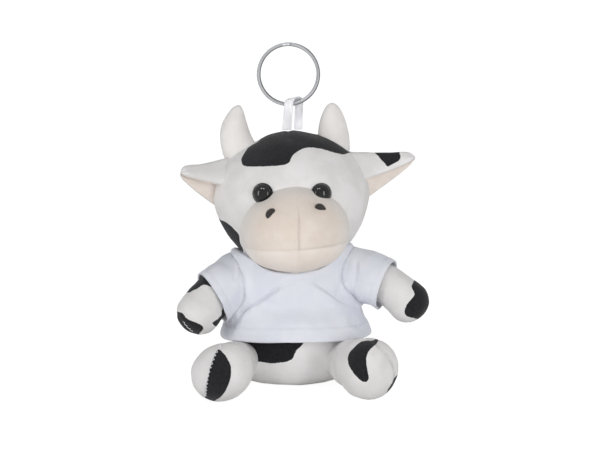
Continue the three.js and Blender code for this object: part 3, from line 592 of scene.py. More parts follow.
def metal(name):
    """Nickel-plated spring steel, drawn lengthways, with small scratches from keys, and edges painted dark where the
    gap between its turns is in shade.
    """
    look = Look(name, Metallic=1.0, Roughness=0.5)
    drawn = look.noise(0.0012, 3, 0.6, (1, 14, 1), look.value("weave", vector=True))
    scratch = look.noise(0.0006, 4, 0.7, (1, 1, 6))
    # scratches from keys: real wear
    wear_and_edge_shade = look.ramp(scratch, 0.62, 0.7)
    colour = look.mix(look.ramp(drawn, 0.3, 0.7), rgb(150, 151, 154), rgb(196, 197, 200))
    # painted shadow: the wire's edges darkened by the edge value, standing in for the shade in the gap between its
    # turns
    colour = look.mix(look.times(look.value("edge"), 0.9), colour, rgb(62, 62, 65))
    colour = look.mix(look.times(wear_and_edge_shade, 0.35), colour, rgb(120, 118, 116))
    rough = look.ramp(look.plus(drawn, wear_and_edge_shade), 0.3, 1.4, 0.42, 0.6)
    return look.done(colour, look.bumped(drawn, 0.00003, 0.35), rough)


def eye_plastic(name):
    """Black safety-eye plastic, polished, with faint flow marks and dust-fine wear."""
    look = Look(name, Roughness=0.04, Specular_IOR_Level=0.35)
    flow = look.noise(0.0025, 2, 0.5)
    specks = look.ramp(look.noise(0.00025, 2, 0.5), 0.68, 0.74)
    colour = look.mix(look.ramp(flow, 0.3, 0.7), rgb(6, 6, 7), rgb(12, 12, 13))
    rough = look.ramp(look.plus(flow, specks), 0.3, 1.5, 0.03, 0.12)
    return look.done(colour, look.bumped(flow, 0.00004, 0.15), rough)


def moulded(name, light, dark):
    """Plain moulded plastic, slightly grained."""
    look = Look(name, Roughness=0.45, Specular_IOR_Level=0.45)
    grain = look.noise(0.0004, 3, 0.6)
    colour = look.shades(look.noise(0.004), dark, light)
    return look.done(colour, look.bumped(grain, 0.00004, 0.4), look.ramp(grain, 0.3, 0.7, 0.38, 0.52))


WHITE_PLUSH = plush("white_plush", rgb(233, 231, 231), rgb(226, 224, 223), spotted=True)
# a lighter copy of the peach plush: partly the chin's own paler tone, partly painted light offsetting the shade under
# the chin
PALE_CHIN_PLUSH_PAINTED_LIGHTER = plush("pale_chin_plush_painted_lighter", rgb(242, 233, 225), rgb(238, 227, 218), rim=rgb(238, 233, 229))
# painted light: a lighter copy of the white plush, offsetting the shade that falls on the belly under the shirt
BELLY_PLUSH_PAINTED_LIGHTER = plush("belly_plush_painted_lighter", rgb(241, 239, 239), rgb(235, 233, 232), spotted=True)
PEACH_PLUSH = plush("peach_plush", rgb(234, 223, 213), rgb(229, 216, 205), rim=rgb(231, 226, 221))
HORN_PLUSH = plush("horn_plush", rgb(236, 233, 231), rgb(230, 226, 223))
EAR_CLOTH = plush("ear_lining", rgb(245, 236, 229), rgb(238, 228, 220))
JERSEY_CLOTH = jersey("white_jersey")
WHITE_THREAD = thread("white_thread", rgb(236, 236, 240), rgb(206, 206, 212))
DARK_THREAD = thread("dark_thread", rgb(58, 48, 45), rgb(30, 25, 24))
SATIN = satin("white_satin")
STEEL = metal("nickel_steel")
EYE_BLACK = eye_plastic("black_plastic")
WASHER = moulded("white_plastic", rgb(232, 232, 228), rgb(214, 214, 208))


# Torso

def torso_form(around=120, bands=72):
    """The trunk's egg and the ball of its neck, as one form."""
    angle = turns(around)
    heights = 21.2 - 34.6 * np.cos(np.linspace(0, math.pi, bands))
    rings = [np.array([[0, 0, heights[0] - 0.1]])]
    for z in heights[1:-1]:
        up = z > BODY_WIDEST
        share = abs(z - BODY_WIDEST) / (BODY["up"] if up else BODY["down"])
        square = BODY["square_up" if up else "square_down"]
        trunk = max(0, 1 - share**square) ** (1 / square)
        ball = math.sqrt(max(0, NECK_RADIUS**2 - (z - NECK_HEIGHT) ** 2))
        corner = lerp(2.7, 2.0, float(smooth(z, 8, 22)))
        x_part, y_part = np.abs(np.cos(angle)) / BODY["a"], np.abs(np.sin(angle)) / BODY["b"]
        ellipse = trunk * (x_part**corner + y_part**corner) ** (-1 / corner)
        reach = (ellipse**8 + ball**8) ** 0.125
        rings.append(np.stack([reach * np.cos(angle), reach * np.sin(angle), np.full(around, z)], 1))
    rings.append(np.array([[0, 0, NECK_HEIGHT + NECK_RADIUS - 0.2]]))
    return skin(rings)


TORSO_SPOTS = [
    (0, [
        (303, 336), (303.5, 343), (301.7, 345.6), (297.5, 349), (294.8, 353.8), (292.5, 359), (288.5, 361),
        (284, 362.2), (271.8, 363.3), (263, 362.4), (257, 361.8), (253, 366), (240, 374), (215, 368), (205, 345),
        (215, 330), (260, 326), (296, 328),
    ]),
    (
        (0, 0, 20), (0.55, 0.8, -0.3), 21,
        [(-30, -10), (-14, -20), (8, -18), (24, -8), (22, 14), (4, 24), (-16, 20), (-30, 8)],
    ),
]


body_points, body_faces = torso_form()
back_seam = curve_through([(0, 20.6, 2), (0, 21, 13), (0, 19.6, 26), (0, 15, 38), (0, 11.8, 46)], 40)
torso = soft(
    "torso_plush", body_points, body_faces, BELLY_PLUSH_PAINTED_LIGHTER, "torso", ["body_cover", "body_filling"],
    spots=TORSO_SPOTS, seams=[(back_seam, 0.7, 1.1)], seed=3,
)


# Head

head_points, head_faces = egg(**HEAD, around=168, bands=58)
head_points = from_head(head_points)
reach = np.hypot(head_points[:, 0], head_points[:, 1])
socket = (reach < NECK_RADIUS + 0.6) & (head_points[:, 2] < NECK_HEIGHT + 14)
hollow = NECK_HEIGHT + np.sqrt(np.maximum(0, (NECK_RADIUS + 0.6) ** 2 - reach**2))
head_points[:, 2] = np.where(socket, np.maximum(head_points[:, 2], hollow), head_points[:, 2])


def over_head(first, last, n):
    """A line over the head near its middle plane: 0 degrees is the front, 90 the crown and 180 the back."""
    made, power = [], 2 / HEAD["square_up"]
    for t in np.radians(np.linspace(first, last, n)):
        c, s = math.cos(t), math.sin(t)
        z = math.copysign((HEAD["up"] if s > 0 else HEAD["down"]) * abs(s) ** power, s)
        made.append((0.2, -math.copysign(HEAD["b"] * abs(c) ** power, c), z))
    return from_head(made)


# The plush lies lower beside the muzzle, in dents over the brow and under the cheeks
crown_dart, nape_seam = over_head(66, 92, 20), over_head(92, 222, 60)
local = (head_points - HEAD_AT) @ HEAD_TURN
up_part = np.where(local[:, 2] > MUZZLE_AT[2], MUZZLE["up"], MUZZLE["down"])
power = np.where(local[:, 2] > MUZZLE_AT[2], MUZZLE["square_up"], MUZZLE["square_down"])
share = np.hypot(local[:, 0] / MUZZLE["a"], (local[:, 1] - MUZZLE_AT[1]) / MUZZLE["b"]) ** power
share += (np.abs(local[:, 2] - MUZZLE_AT[2]) / up_part) ** power
beyond = (share ** (1 / power) - 1) * 17
low = 0.55 * bump(beyond - 0.3, 0.9) * (local[:, 1] < -5)
over = smooth(local[:, 2], 12, 20) * bump(local[:, 1], 14)
low += over * (1.0 * bump(local[:, 0] + 13.5, 4.5) + 0.5 * bump(local[:, 0] + 4, 7) + 0.5 * bump(local[:, 0] - 8, 5))
low += 0.45 * smooth(-local[:, 2], 0, 8) * smooth(np.abs(local[:, 0]), 18, 26)
head_points = head_points - normals_of(head_points, head_faces) * low[:, None]
head = soft(
    "head_plush", head_points, head_faces, WHITE_PLUSH, "head", ["head_cover", "head_filling"],
    spots=HEAD_SPOTS, seams=[(crown_dart, 0.45, 0.9), (nape_seam, 0.7, 1.0)], lumps=0.2, seed=7,
)

# Muzzle: one sewn form, cut at its seams into two upper panels and a chin

def pressed(side, x, z):
    """How far the muzzle is pressed in under an eye."""
    return EYE_PRESS[side] * bump(np.hypot(x - EYE_AT[side][0] * 0.85, z - EYE_AT[side][1] + 1.4), 3.2)


muzzle_points, muzzle_faces = egg(**MUZZLE, around=152, bands=56)
muzzle_points = muzzle_points + MUZZLE_AT
out = normals_of(muzzle_points, muzzle_faces)
x, y, z = muzzle_points.T
beside_seam = x - MUZZLE_SEAM[0] - SEAM_LEAN * (z - MUZZLE_SEAM[2])
seamed = (1 - smooth(z, -6, 1)) * smooth(-y, 18, 24)
centre = bump(beside_seam, 0.6) * smooth(z, MOUTH - 0.5, MOUTH + 1) * seamed
mouth = bump(z - MOUTH, 0.6) * smooth(-y, 12, 20) * (0.3 + 0.7 * smooth(x, -2, 4) * (1 - smooth(x, 13, 18)))
puffed = 0.45 * bump(np.hypot(x + 7, z + 8), 8) + 0.35 * bump(np.hypot(x - 9, z + 7), 8)
overlap = 0.4 * smooth(beside_seam, -3.4, -0.9) * (1 - smooth(beside_seam, -0.5, 0.7)) * seamed
dimple = 0.35 * bump(np.hypot(x + 17.2, z + 15.5), 2.2)
for side in SIDES:
    dimple = dimple + pressed(side, x, z) * smooth(-y, 14, 20)
muzzle_points = muzzle_points + out * (
    puffed + overlap - 0.25 * centre - 0.28 * mouth - dimple + 0.16 * ripple(muzzle_points, 13, 12)
)[:, None]
# the rim value fades the peach cloth towards white; the seam value is painted shade along the centre seam and the mouth
# seam
muzzle_rim_and_seam_shade = dict(
    rim=smooth(np.hypot(x / 21, np.maximum(z + 9, 0) / 16.5), 0.62, 0.98), seam=0.28 * centre + 0.3 * mouth,
)


def muzzle_piece(name, planes, material, nodes):
    """The part of the muzzle on one side of each plane, closed again where it is cut."""
    piece = make(name, muzzle_world, muzzle_faces, material, **muzzle_rim_and_seam_shade)
    edit = bmesh.new()
    edit.from_mesh(piece.data)
    for point, normal in planes:
        every = edit.verts[:] + edit.edges[:] + edit.faces[:]
        place = tuple(np.asarray(point) * 0.001)
        cut = bmesh.ops.bisect_plane(edit, geom=every, plane_co=place, plane_no=tuple(normal), clear_outer=True)
        rim_edges = [e for e in cut["geom_cut"] if isinstance(e, bmesh.types.BMEdge)]
        bmesh.ops.contextual_create(edit, geom=rim_edges)
    bmesh.ops.recalc_face_normals(edit, faces=edit.faces)
    edit.to_mesh(piece.data)
    edit.free()
    piece.data.polygons.foreach_set("use_smooth", [len(p.vertices) < 5 for p in piece.data.polygons])
    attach(piece, "head")
    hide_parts(*nodes)


def plane_in_head(point, normal):
    return from_head([point])[0], HEAD_TURN @ np.array(normal, float)


muzzle_world = from_head(muzzle_points)
over_mouth, under_mouth = (plane_in_head((0, 0, MOUTH), (0, 0, way)) for way in (-1, 1))
for side, sign in SIDES.items():
    beside_cut = plane_in_head(MUZZLE_SEAM, (-sign, 0, SEAM_LEAN * sign))
    muzzle_piece(f"muzzle_panel_{side}", [over_mouth, beside_cut], PEACH_PLUSH, [f"muzzle_{side}"])
muzzle_piece("chin_panel", [under_mouth], PALE_CHIN_PLUSH_PAINTED_LIGHTER, ["chin", "muzzle_filling"])


# Eyes, washers and nostrils

def turned_to(direction):
    """A frame whose +Y looks along a direction."""
    ahead = unit(direction)
    across = unit(np.cross(ahead, (0, 0, 1)))
    return np.stack([across, ahead, np.cross(across, ahead)], 1)


def lathe(outline, around=64):
    """A closed form turned about +Y, from (radius, height) points that start and end on the axis."""
    angle = turns(around)
    rings = [
        np.array([[0, h, 0]]) if r < 1e-6 else np.stack([r * np.cos(angle), np.full(around, h), -r * np.sin(angle)], 1)
        for r, h in outline
    ]
    return skin(rings)


for side, sign in SIDES.items():
    at, facing = on_face(*EYE_AT[side])
    turn = turned_to(facing)
    rise = np.linspace(0, math.pi / 2, 22)
    dome = [(3.68 * math.cos(a), 0.5 + (EYE_DOME - 0.5) * math.sin(a)) for a in rise[:-1]] + [(0, EYE_DOME)]
    stem = [(0, -EYE_LENGTH), (0.7, -EYE_LENGTH), (EYE_STEM, -EYE_LENGTH + 0.7)] + [
        (EYE_STEM + rib, z) for rib, z in (
            (0, -5.3), (0.2, -5.2), (0, -5), (0, -3.4), (0.2, -3.3), (0, -3.1), (0, -0.7),
        )
    ]
    flange = [
        (EYE_RADIUS + past, z) for past, z in (
            (-0.5, -0.7), (0.06, -0.45), (0.1, 0.2), (0.02, 0.42), (-0.1, 0.5), (-0.22, 0.48), (-0.3, 0.42),
        )
    ]
    eye_points, eye_faces = lathe(stem + flange + dome)
    eye_points = from_head(eye_points @ turn.T + at - facing * EYE_SUNK)
    eye = make(f"safety_eye_{side}", eye_points, eye_faces, EYE_BLACK, "head")
    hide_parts(f"eye_{side}")
    bpy.data.objects[f"eye_washer_{side}"].data.materials[0] = WASHER

    at, facing = on_muzzle(*NOSTRIL_AT[side])
    at = at - facing * float(pressed(side, *NOSTRIL_AT[side]))
    turn = turned_to(facing) @ turn_about((0, 1, 0), sign * NOSTRIL["lean"][side])
    half, wide, thick = NOSTRIL["length"], NOSTRIL["width"], NOSTRIL["thickness"]
    knot, knot_faces = egg(wide * 0.92, thick * 0.7, half * 0.95, half * 0.95, 2, 2, around=28, bands=7)
    rng, bend = np.random.default_rng(21 + sign), 0.55 * sign
    knot[:, 0] += bend * (knot[:, 2] / half) ** 2
    parts = [(knot, knot_faces)]
    for across in np.linspace(-half * 0.9, half * 0.9, 13):
        reach = wide * math.sqrt(1 - (across / half) ** 2) + rng.uniform(-0.08, 0.12)
        a = np.linspace(0.05, math.pi - 0.05, 9)
        line = np.stack([
            reach * np.cos(a) + bend * (across / half) ** 2, thick * (0.15 + 0.8 * np.sin(a)),
            across + 0.12 * np.cos(a) + rng.uniform(-0.04, 0.04, 9),
        ], 1)
        parts.append(closed_tube(line, 0.17))
    stitched, stitched_faces = joined(parts)
    stitched = from_head(stitched @ turn.T + at)
    nostril = make(f"nostril_stitching_{side}", stitched, stitched_faces, DARK_THREAD, "head")
    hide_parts(f"nostril_{side}")


# Horns

for side, sign in SIDES.items():
    horn_points, horn_faces = egg(**HORN, around=64, bands=30)
    high = np.clip(horn_points[:, 2] / HORN["up"], 0, 1)
    slim, lean, bow, spread = HORN_SHAPE[side]
    horn_points[:, 0] *= 1 - slim * high
    inner_side = horn_points[:, 0] * sign < 0
    horn_points[:, 0] += lean * high**2 + bow * np.sin(math.pi * high) - sign * spread * (1 - high) ** 2 * inner_side
    at = np.array(HORN_AT[side])
    side_line = from_head([
        at + (sign * HORN["a"] * math.cos(t), 0, HORN["up"] * math.sin(t)) for t in np.linspace(0, math.pi, 40)
    ])
    soft(
        f"horn_plush_{side}", from_head(horn_points + at), horn_faces, HORN_PLUSH, "head",
        [f"horn_{side}", f"horn_filling_{side}"], seams=[(side_line, 0.22, 0.7)], lumps=0.16, seed=30 + sign,
    )


# Ears

def ear_ways(side):
    """The ways along an ear and across it, level in the head's own frame."""
    forward, sign = math.radians(EAR_FORWARD[side]), SIDES[side]
    c, s = math.cos(forward), math.sin(forward)
    return np.array([[c * sign, -s, 0], [s * sign, c, 0]])


def ear_form(side, start, end):
    """A leaf folded over its upper edge, between two depths of its cloth, in the head's own frame."""
    along, across = ear_ways(side)
    root = np.array([SIDES[side] * (half_width(EAR_TOP[side]) - EAR["sunk"]), 0, EAR_TOP[side]])
    tilts = np.array([EAR["front_tilt"], 180 - EAR["back_tilt"]])

    def in_fold(r, degrees):
        a = np.radians(degrees)[..., None]
        return -r * np.cos(a) * across + r * np.sin(a) * np.array([0, 0, 1])

    front_down, back_down = -in_fold(1.0, np.array([90 + EAR["front_tilt"], 90 - EAR["back_tilt"]]))
    middle, half = (start + end) / 2, (end - start) / 2
    rings = []
    for t in np.sin(np.linspace(0, math.pi / 2, 30)) ** 0.9:
        close = math.sqrt(max(0.002, 1 - max(0, (t - 0.88) / 0.12) ** 2))
        front, back = EAR_FRONT[side] * (1 - 0.8 * t) * close, EAR["back"] * (1 - 0.88 * t) * close
        slim = 1 - 0.35 * t
        drop = EAR_DROOP * math.sin(min(1, t / 0.7) * math.pi / 2) - EAR["fold"] * (1 - slim) + 1.1 * (1 - close)
        centre = root - (0, 0, drop) + along * (EAR_LENGTH[side] + EAR["sunk"]) * t

        def path(offset, pull):
            """The leaf's section at a depth of its cloth: down the front, over the fold and down the back."""
            bend = in_fold((EAR["fold"] - offset) * slim * close, np.linspace(*tilts, 11))
            run = np.linspace(1, 0, 9)[:-1, None]
            rounding = in_fold(1.0, tilts[0]) * 0.5 * np.sin(run * math.pi)
            front_run = bend[0] + front_down * (front - pull) * run + rounding
            return np.vstack([front_run, bend, bend[-1] + back_down * (back - pull) * run[::-1]])

        outer, inner = path(middle - half * close, 0.35), path(middle + half * close, 0.35)
        edge = path(middle, 0)
        rings.append(np.vstack([outer, edge[-1:], inner[::-1], edge[:1]]) + centre)
    return capped(rings)


EAR_SPOTS = {
    "right": [(3, [
        (374, 149), (374.6, 152.6), (378.2, 156), (380.8, 159.4), (384.7, 163.2), (387.6, 166.5), (391.9, 164.4),
        (399, 160.6), (400.4, 157), (399.6, 153.4), (397, 148),
    ])],
    "left": [((-34, 4, 80), (-0.5, 0.8, 0.2), 12, [(-20, 0), (-8, 14), (12, 12), (20, -4), (4, -16), (-14, -12)])],
}
for side, sign in SIDES.items():
    layers = []
    for start, thick, lumps, size, seed in ((0, PLUSH, 0.15, 9, 40), (PLUSH + 0.1, LINING, 0.1, 7, 50)):
        points, faces = ear_form(side, start, start + thick)
        points = from_head(points)
        nap = lumps * ripple(points, size, seed + sign)
        layers.append((points + normals_of(points, faces) * nap[:, None], faces))
    points, faces = layers[0]
    spot, seam = spots_on(points, EAR_SPOTS[side]), np.zeros(len(points))
    outer = make(f"ear_plush_{side}", points, faces, WHITE_PLUSH, spot=spot, seam=seam)
    lining = make(f"ear_lining_cloth_{side}", *layers[1], EAR_CLOTH, seam=np.zeros(len(layers[1][0])))
    for piece, slot, node in ((outer, "white_plush", f"ear_{side}"), (lining, "ear_lining", f"ear_lining_{side}")):
        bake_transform(piece)
        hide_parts(node)


# Limbs

def bezier(a, b, c, n):
    """Points at even steps along a bend."""
    t = np.linspace(0, 1, 2000)[:, None]
    p = (1 - t) ** 2 * np.array(a, float) + 2 * t * (1 - t) * np.array(b, float) + t * t * np.array(c, float)
    far = reached(p)
    even = np.linspace(0, far[-1], n)
    return np.stack([np.interp(even, far, p[:, k]) for k in range(3)], 1)


def radius_at(radii, share):
    """A limb's radius at shares of the way along it."""
    radii, place = np.array(radii), share * (len(radii) - 1)
    k = np.minimum(place.astype(int), len(radii) - 2)
    return lerp(radii[k], radii[k + 1], smooth(place - k, 0, 1))


def limb(line, radii, end_stretch=0.95, around=64):
    """A stuffed limb along a line: a round root, a swelling shaft and a round end."""
    radius = radius_at(radii, np.linspace(0, 1, len(line)))
    start_way, end_way = unit(line[1] - line[0]), unit(line[-1] - line[-2])
    caps = np.linspace(0, math.pi / 2, 15)[1:-1]
    before = [(line[0] - start_way * radius[0] * math.cos(a), radius[0] * math.sin(a)) for a in caps]
    after = [
        (line[-1] + end_way * radius[-1] * end_stretch * math.cos(a), radius[-1] * math.sin(a)) for a in caps[::-1]
    ]
    centres = np.array([c for c, _ in before] + list(line) + [c for c, _ in after])
    sizes = np.array([r for _, r in before] + list(radius) + [r for _, r in after])
    ways = np.array([start_way] * len(before) + list(unit(np.gradient(line, axis=0))) + [end_way] * len(after))
    rings = rings_along(centres, sizes, ways, unit(np.cross(ways[0], (0, 0, 1))), around)
    ends = [line[:1] - start_way * radius[0], line[-1:] + end_way * radius[-1] * end_stretch]
    return skin([ends[0]] + rings + [ends[1]])


ARM_SPOTS = {
    "left": [
        (0, [
            (188.5, 292.8), (193, 290.8), (198, 288.6), (201, 286), (204.3, 284.8), (208, 285.6), (211.7, 287.4),
            (217.2, 290.4), (224, 291), (226, 268), (205, 258), (185, 268), (178, 288),
        ]),
        (-12, [
            (183, 313.6), (185.5, 317.5), (189.4, 320.4), (195, 322.5), (199.7, 324.5), (202.6, 326.5), (203.4, 329.2),
            (200, 333), (192, 342), (170, 330), (168, 312), (178.5, 311.8),
        ]),
        (-10, [
            (222.5, 309), (221.3, 314.5), (219.8, 316.5), (217.5, 319.3), (214.5, 321), (212.3, 323.4), (215.8, 326.5),
            (224, 330), (232, 318), (228, 308),
        ]),
    ],
    "right": [(-2, [
        (415, 279.5), (412.3, 284), (411.7, 287.8), (414.2, 292.7), (413.6, 296.5), (408, 303), (404.7, 310),
        (405.2, 315), (410, 317.5), (415, 318.4), (420.4, 320.5), (432, 324), (442, 300), (432, 276), (420, 272),
    ])],
}
LEG_SPOTS = {
    "left": [
        (-30, [
            (218.9, 349.3), (222, 352), (225.3, 355.4), (229.9, 363.6), (231.2, 370.7), (229.9, 380), (225.8, 390),
            (220.7, 397), (213, 401.8), (206, 406), (204, 402), (205, 396), (206, 384), (208, 375.8), (209.5, 368),
            (213.6, 357), (216.3, 352),
        ]),
        ((-22, -22, 11), (-0.9, 0.3, 0.5), 10, [(-26, -10), (-18, 12), (4, 22), (24, 8), (18, -16), (-4, -24)]),
    ],
    "right": [
        (-20, [
            (377.5, 337.8), (374, 339.2), (368, 340), (360.7, 341.7), (353.6, 348), (349.5, 352.4), (347.7, 359.6),
            (349.5, 366.7), (355.6, 375.4), (361.7, 381), (365.8, 382), (368.4, 380), (368.8, 376), (368, 373.4),
            (366.3, 361.6), (366.8, 355.5), (369.4, 350.4), (375, 344.8), (378.3, 340.5),
        ]),
        (-16, [
            (398, 374.5), (393, 382.2), (389.8, 386.4), (388, 389), (386.4, 392.2), (384.4, 396), (388, 404),
            (402, 398), (410, 376), (401, 371),
        ]),
        (-4, [(361.5, 337.6), (362, 330), (370, 330), (368.8, 336.4), (365, 337.6)]),
        ((22, -24, 10), (0.7, 0.6, 0.4), 10, [(-24, 0), (-8, 20), (16, 16), (24, -6), (2, -20)]),
    ],
}
ARM_LINES = {
    side: bezier((sign * ARM_SEAM[0], *ARM_SEAM[1:]), ARM_BEND[side], HAND_AT[side], ARM_STEPS)
    for side, sign in SIDES.items()
}
HAND_SEAMS = {
    "left": [
        (-44.5, -17, 30), (-43.2, -20.2, 29), (-41.9, -21.9, 27.4), (-40.4, -22.3, 25.6), (-39, -21.2, 24),
        (-37.8, -18, 22.8),
    ],
    "right": [(46, -1, 41), (49, -5, 40.4), (52.4, -8, 37.5), (54, -10, 33), (53, -11.5, 28.8), (49, -11.5, 25.4)],
}
FOOT_SEAMS = {
    "left": [
        (-21, -20, 20.6), (-24, -33, 22.8), (-26.2, -39.6, 22.6), (-28.2, -43.5, 20.5), (-29.6, -45.4, 17.2),
        (-30.9, -46.4, 13.4), (-31.6, -46.2, 9.6), (-32.3, -43.6, 4.6), (-32.3, -40, 1.2),
    ],
    "right": [
        (24, -20, 19.8), (29, -32, 23), (33, -37.6, 21.6), (35.4, -38.8, 19.6), (37.8, -38.6, 16.4), (39.2, -38, 12),
        (39.4, -36.4, 6),
    ],
}


def zigzag(name, body, centre, line, reach, low, high, seed):
    """Threads that cross a seam to and fro, on the outside of a round end about centre."""
    rng, span = np.random.default_rng(seed), 0.8
    path = curve_through(line, 200)
    far = reached(path)
    threads, side = [], 1
    for s in np.arange(low * far[-1], high * far[-1], span):
        k = min(max(int(np.searchsorted(far, s)), 1), len(path) - 2)
        out_way = unit(path[k] - centre)
        along = unit(path[k + 1] - path[k - 1])
        across = unit(np.cross(out_way, along)) * side
        a = path[k] - across * reach * rng.uniform(0.6, 1) - along * span * 0.5
        b = path[k] + across * reach * rng.uniform(0.6, 1) + along * span * 0.5
        t = np.linspace(0, 1, 6)[:, None]
        threads.append(closed_tube(a * (1 - t) + b * t + out_way * (0.22 * np.sin(t * math.pi)), 0.13))
        side = -side
    piece = make(name, *joined(threads), WHITE_THREAD, body)


for side, sign in SIDES.items():
    points, faces = limb(ARM_LINES[side], ARM_RADII[side])
    soft(
        f"arm_plush_{side}", points, faces, WHITE_PLUSH, f"arm_{side}",
        [f"arm_{side}", f"arm_filling_{side}"],
        spots=ARM_SPOTS[side], seams=[(curve_through(HAND_SEAMS[side], 40), 0.45, 0.8)], lumps=0.22, seed=60 + sign,
    )
    leg_line = np.linspace((sign * LEG_SEAM[0], *LEG_SEAM[1:]), FOOT_AT[side], 50)
    points, faces = limb(leg_line, LEG_RADII[side], 0.9, 72)
    if side == "left":
        front_part = smooth(-points[:, 1], 20, 32)
        points[:, 2] -= 0.05 * points[:, 2] * front_part
        points[:, 0] += 0.11 * (points[:, 2] - 12) * front_part
    else:
        points[:, 0] += 0.4 * smooth(-points[:, 1], 20, 32)
    soft(
        f"leg_plush_{side}", points, faces, WHITE_PLUSH, f"leg_{side}",
        [f"leg_{side}", f"leg_filling_{side}"],
        spots=LEG_SPOTS[side], seams=[(curve_through(FOOT_SEAMS[side], 60), 0.5, 0.9)], lumps=0.28, seed=70 + sign,
    )
zigzag("foot_seam_thread", "leg_left", np.array(FOOT_AT["left"]), FOOT_SEAMS["left"], 0.55, 0.45, 0.93, 5)
zigzag("hand_seam_thread", "arm_left", np.array(HAND_AT["left"]), HAND_SEAMS["left"], 0.5, 0.3, 0.85, 6)


# T-shirt: the trunk and both sleeves as one smooth surface, cut open at hem, neck and cuffs, and parted at the armholes

def levels(share):
    """The shirt's outline at shares of the way from its hem to its shoulder, on a smooth curve through its levels."""
    rise, square = (SHIRT["height"][2] - BODY_WIDEST) / BODY["up"], BODY["square_up"]
    chest = BODY["b"] * (1 - rise**square) ** (1 / square) + GAP + JERSEY
    depths = [SHIRT["b"][0], SHIRT["b"][1], chest + 0.6, lerp(chest, SHIRT["b"][4], 0.6), SHIRT["b"][4]]
    table = {**SHIRT, "b": depths}
    place = np.clip(np.asarray(share) * 4, 0, 3.99999)
    k = place.astype(int)
    t = place - k
    found = {}
    for key, values in table.items():
        v = np.array(values, float)
        padded = np.concatenate([[2 * v[0] - v[1]], v, [2 * v[-1] - v[-2]]])
        p0, p1, p2, p3 = (padded[k + j] for j in range(4))
        d0, d1, d2 = (np.sqrt(np.maximum(np.abs(b - a), 1e-4)) for a, b in ((p0, p1), (p1, p2), (p2, p3)))
        m1 = (p1 - p0) / d0 - (p2 - p0) / (d0 + d1) + (p2 - p1) / d1
        m2 = (p2 - p1) / d1 - (p3 - p1) / (d1 + d2) + (p3 - p2) / d2
        a, b = m1 * d1, m2 * d1
        found[key] = p1 + a * t + (3 * (p2 - p1) - 2 * a - b) * t**2 + (2 * (p1 - p2) + a + b) * t**3
    return found


SHARES = np.linspace(0, 1, 61)
TABLE = levels(SHARES)
AROUND = np.linspace(0, 2 * math.pi, 121)
LOW = TABLE["height"] + np.outer(np.cos(AROUND) ** 2, TABLE["saddle"])
LOW += np.outer(np.maximum(0, -np.sin(AROUND)) ** 2, TABLE["front"])
HEIGHTS = np.linspace(14, 52, 153)
SHARE_AT = np.array([np.interp(HEIGHTS, row, SHARES) for row in LOW])


def share_at(phi, z):
    """The share of the way up the shirt, at a turn round it and a height."""
    u = np.clip(phi / (2 * math.pi) * 120, 0, 119.999)
    v = np.clip((z - HEIGHTS[0]) / (HEIGHTS[1] - HEIGHTS[0]), 0, len(HEIGHTS) - 1.001)
    return between(SHARE_AT, u, v)


UNDER_STEP, OVER_ALL = 0.7, 70.0  # the grid's step, and a height over the whole underside
UNDER_X, UNDER_Y = np.arange(-34, 36, UNDER_STEP), np.arange(-42, 28, UNDER_STEP)


def undersides():
    """The height of the head's and the muzzle's underside over a grid."""
    trees = [
        BVHTree.FromPolygons(p.tolist(), [tuple(int(i) for i in f) for f in faces])
        for p, faces in ((head_points, head_faces), (muzzle_world, muzzle_faces))
    ]
    table = np.full((len(UNDER_X), len(UNDER_Y)), OVER_ALL)
    for i, x_at in enumerate(UNDER_X):
        for j, y_at in enumerate(UNDER_Y):
            hits = [tree.ray_cast((x_at, y_at, 20), (0, 0, 1))[0] for tree in trees]
            table[i, j] = min([OVER_ALL] + [hit[2] for hit in hits if hit])
    return table


UNDER = undersides()


def under_head(x, y):
    """The height of the head's and the muzzle's underside at x and y."""
    u = np.clip((x - UNDER_X[0]) / UNDER_STEP, 0, len(UNDER_X) - 1.001)
    v = np.clip((y - UNDER_Y[0]) / UNDER_STEP, 0, len(UNDER_Y) - 1.001)
    return between(UNDER, u, v)


def top_at(phi, t):
    """Points of the shirt's top, from its neckline at t = 0 to its shoulder at t = 1."""
    a, b = (lerp(NECKLINE[k], SHOULDER[k], t) for k in ("a", "b"))
    x, y = a * np.cos(phi), b * np.sin(phi)
    rises = [
        level["height"] + level["saddle"] * np.abs(np.cos(phi)) ** 1.1 * lerp(0.45, 1, smooth(-np.sin(phi), -0.6, 0.1))
        + level["front"] * np.maximum(0, -np.sin(phi)) ** 2 + level["back"] * np.maximum(0, np.sin(phi)) ** 2
        for level in (NECKLINE, SHOULDER)
    ]
    room = 0.05 + HEAD_NODS * np.maximum(0, -y) + 0.06 * np.maximum(0, y)
    return np.stack([x, y, np.minimum(lerp(*rises, t) + 0.045 * x, under_head(x, y) - room)], -1)


def trunk_far(p):
    """Roughly how far points are outside the shirt's trunk."""
    share = share_at(np.mod(np.arctan2(p[:, 1] / GIRTH[1], p[:, 0] / GIRTH[0]), 2 * math.pi), p[:, 2])
    a, b, mid = (np.interp(share, SHARES, TABLE[key]) for key in ("a", "b", "x"))
    across = np.stack([(p[:, 0] - mid) / a, p[:, 1] / b], 1)
    ratio = np.maximum(np.linalg.norm(across, axis=1), 1e-3)
    side = (ratio - 1) * np.hypot(p[:, 0] - mid, p[:, 1]) / ratio
    phi = np.arctan2(across[:, 1], across[:, 0])
    inner = np.hypot(NECKLINE["a"] * np.cos(phi), NECKLINE["b"] * np.sin(phi))
    outer = np.hypot(SHOULDER["a"] * np.cos(phi), SHOULDER["b"] * np.sin(phi))
    t = (np.hypot(p[:, 0], p[:, 1]) - inner) / (outer - inner)
    top = p[:, 2] - top_at(phi, np.clip(t, 0, 1.4))[:, 2]
    return np.where(top > -3, blend_of(side, top, 1.6, -1), side)


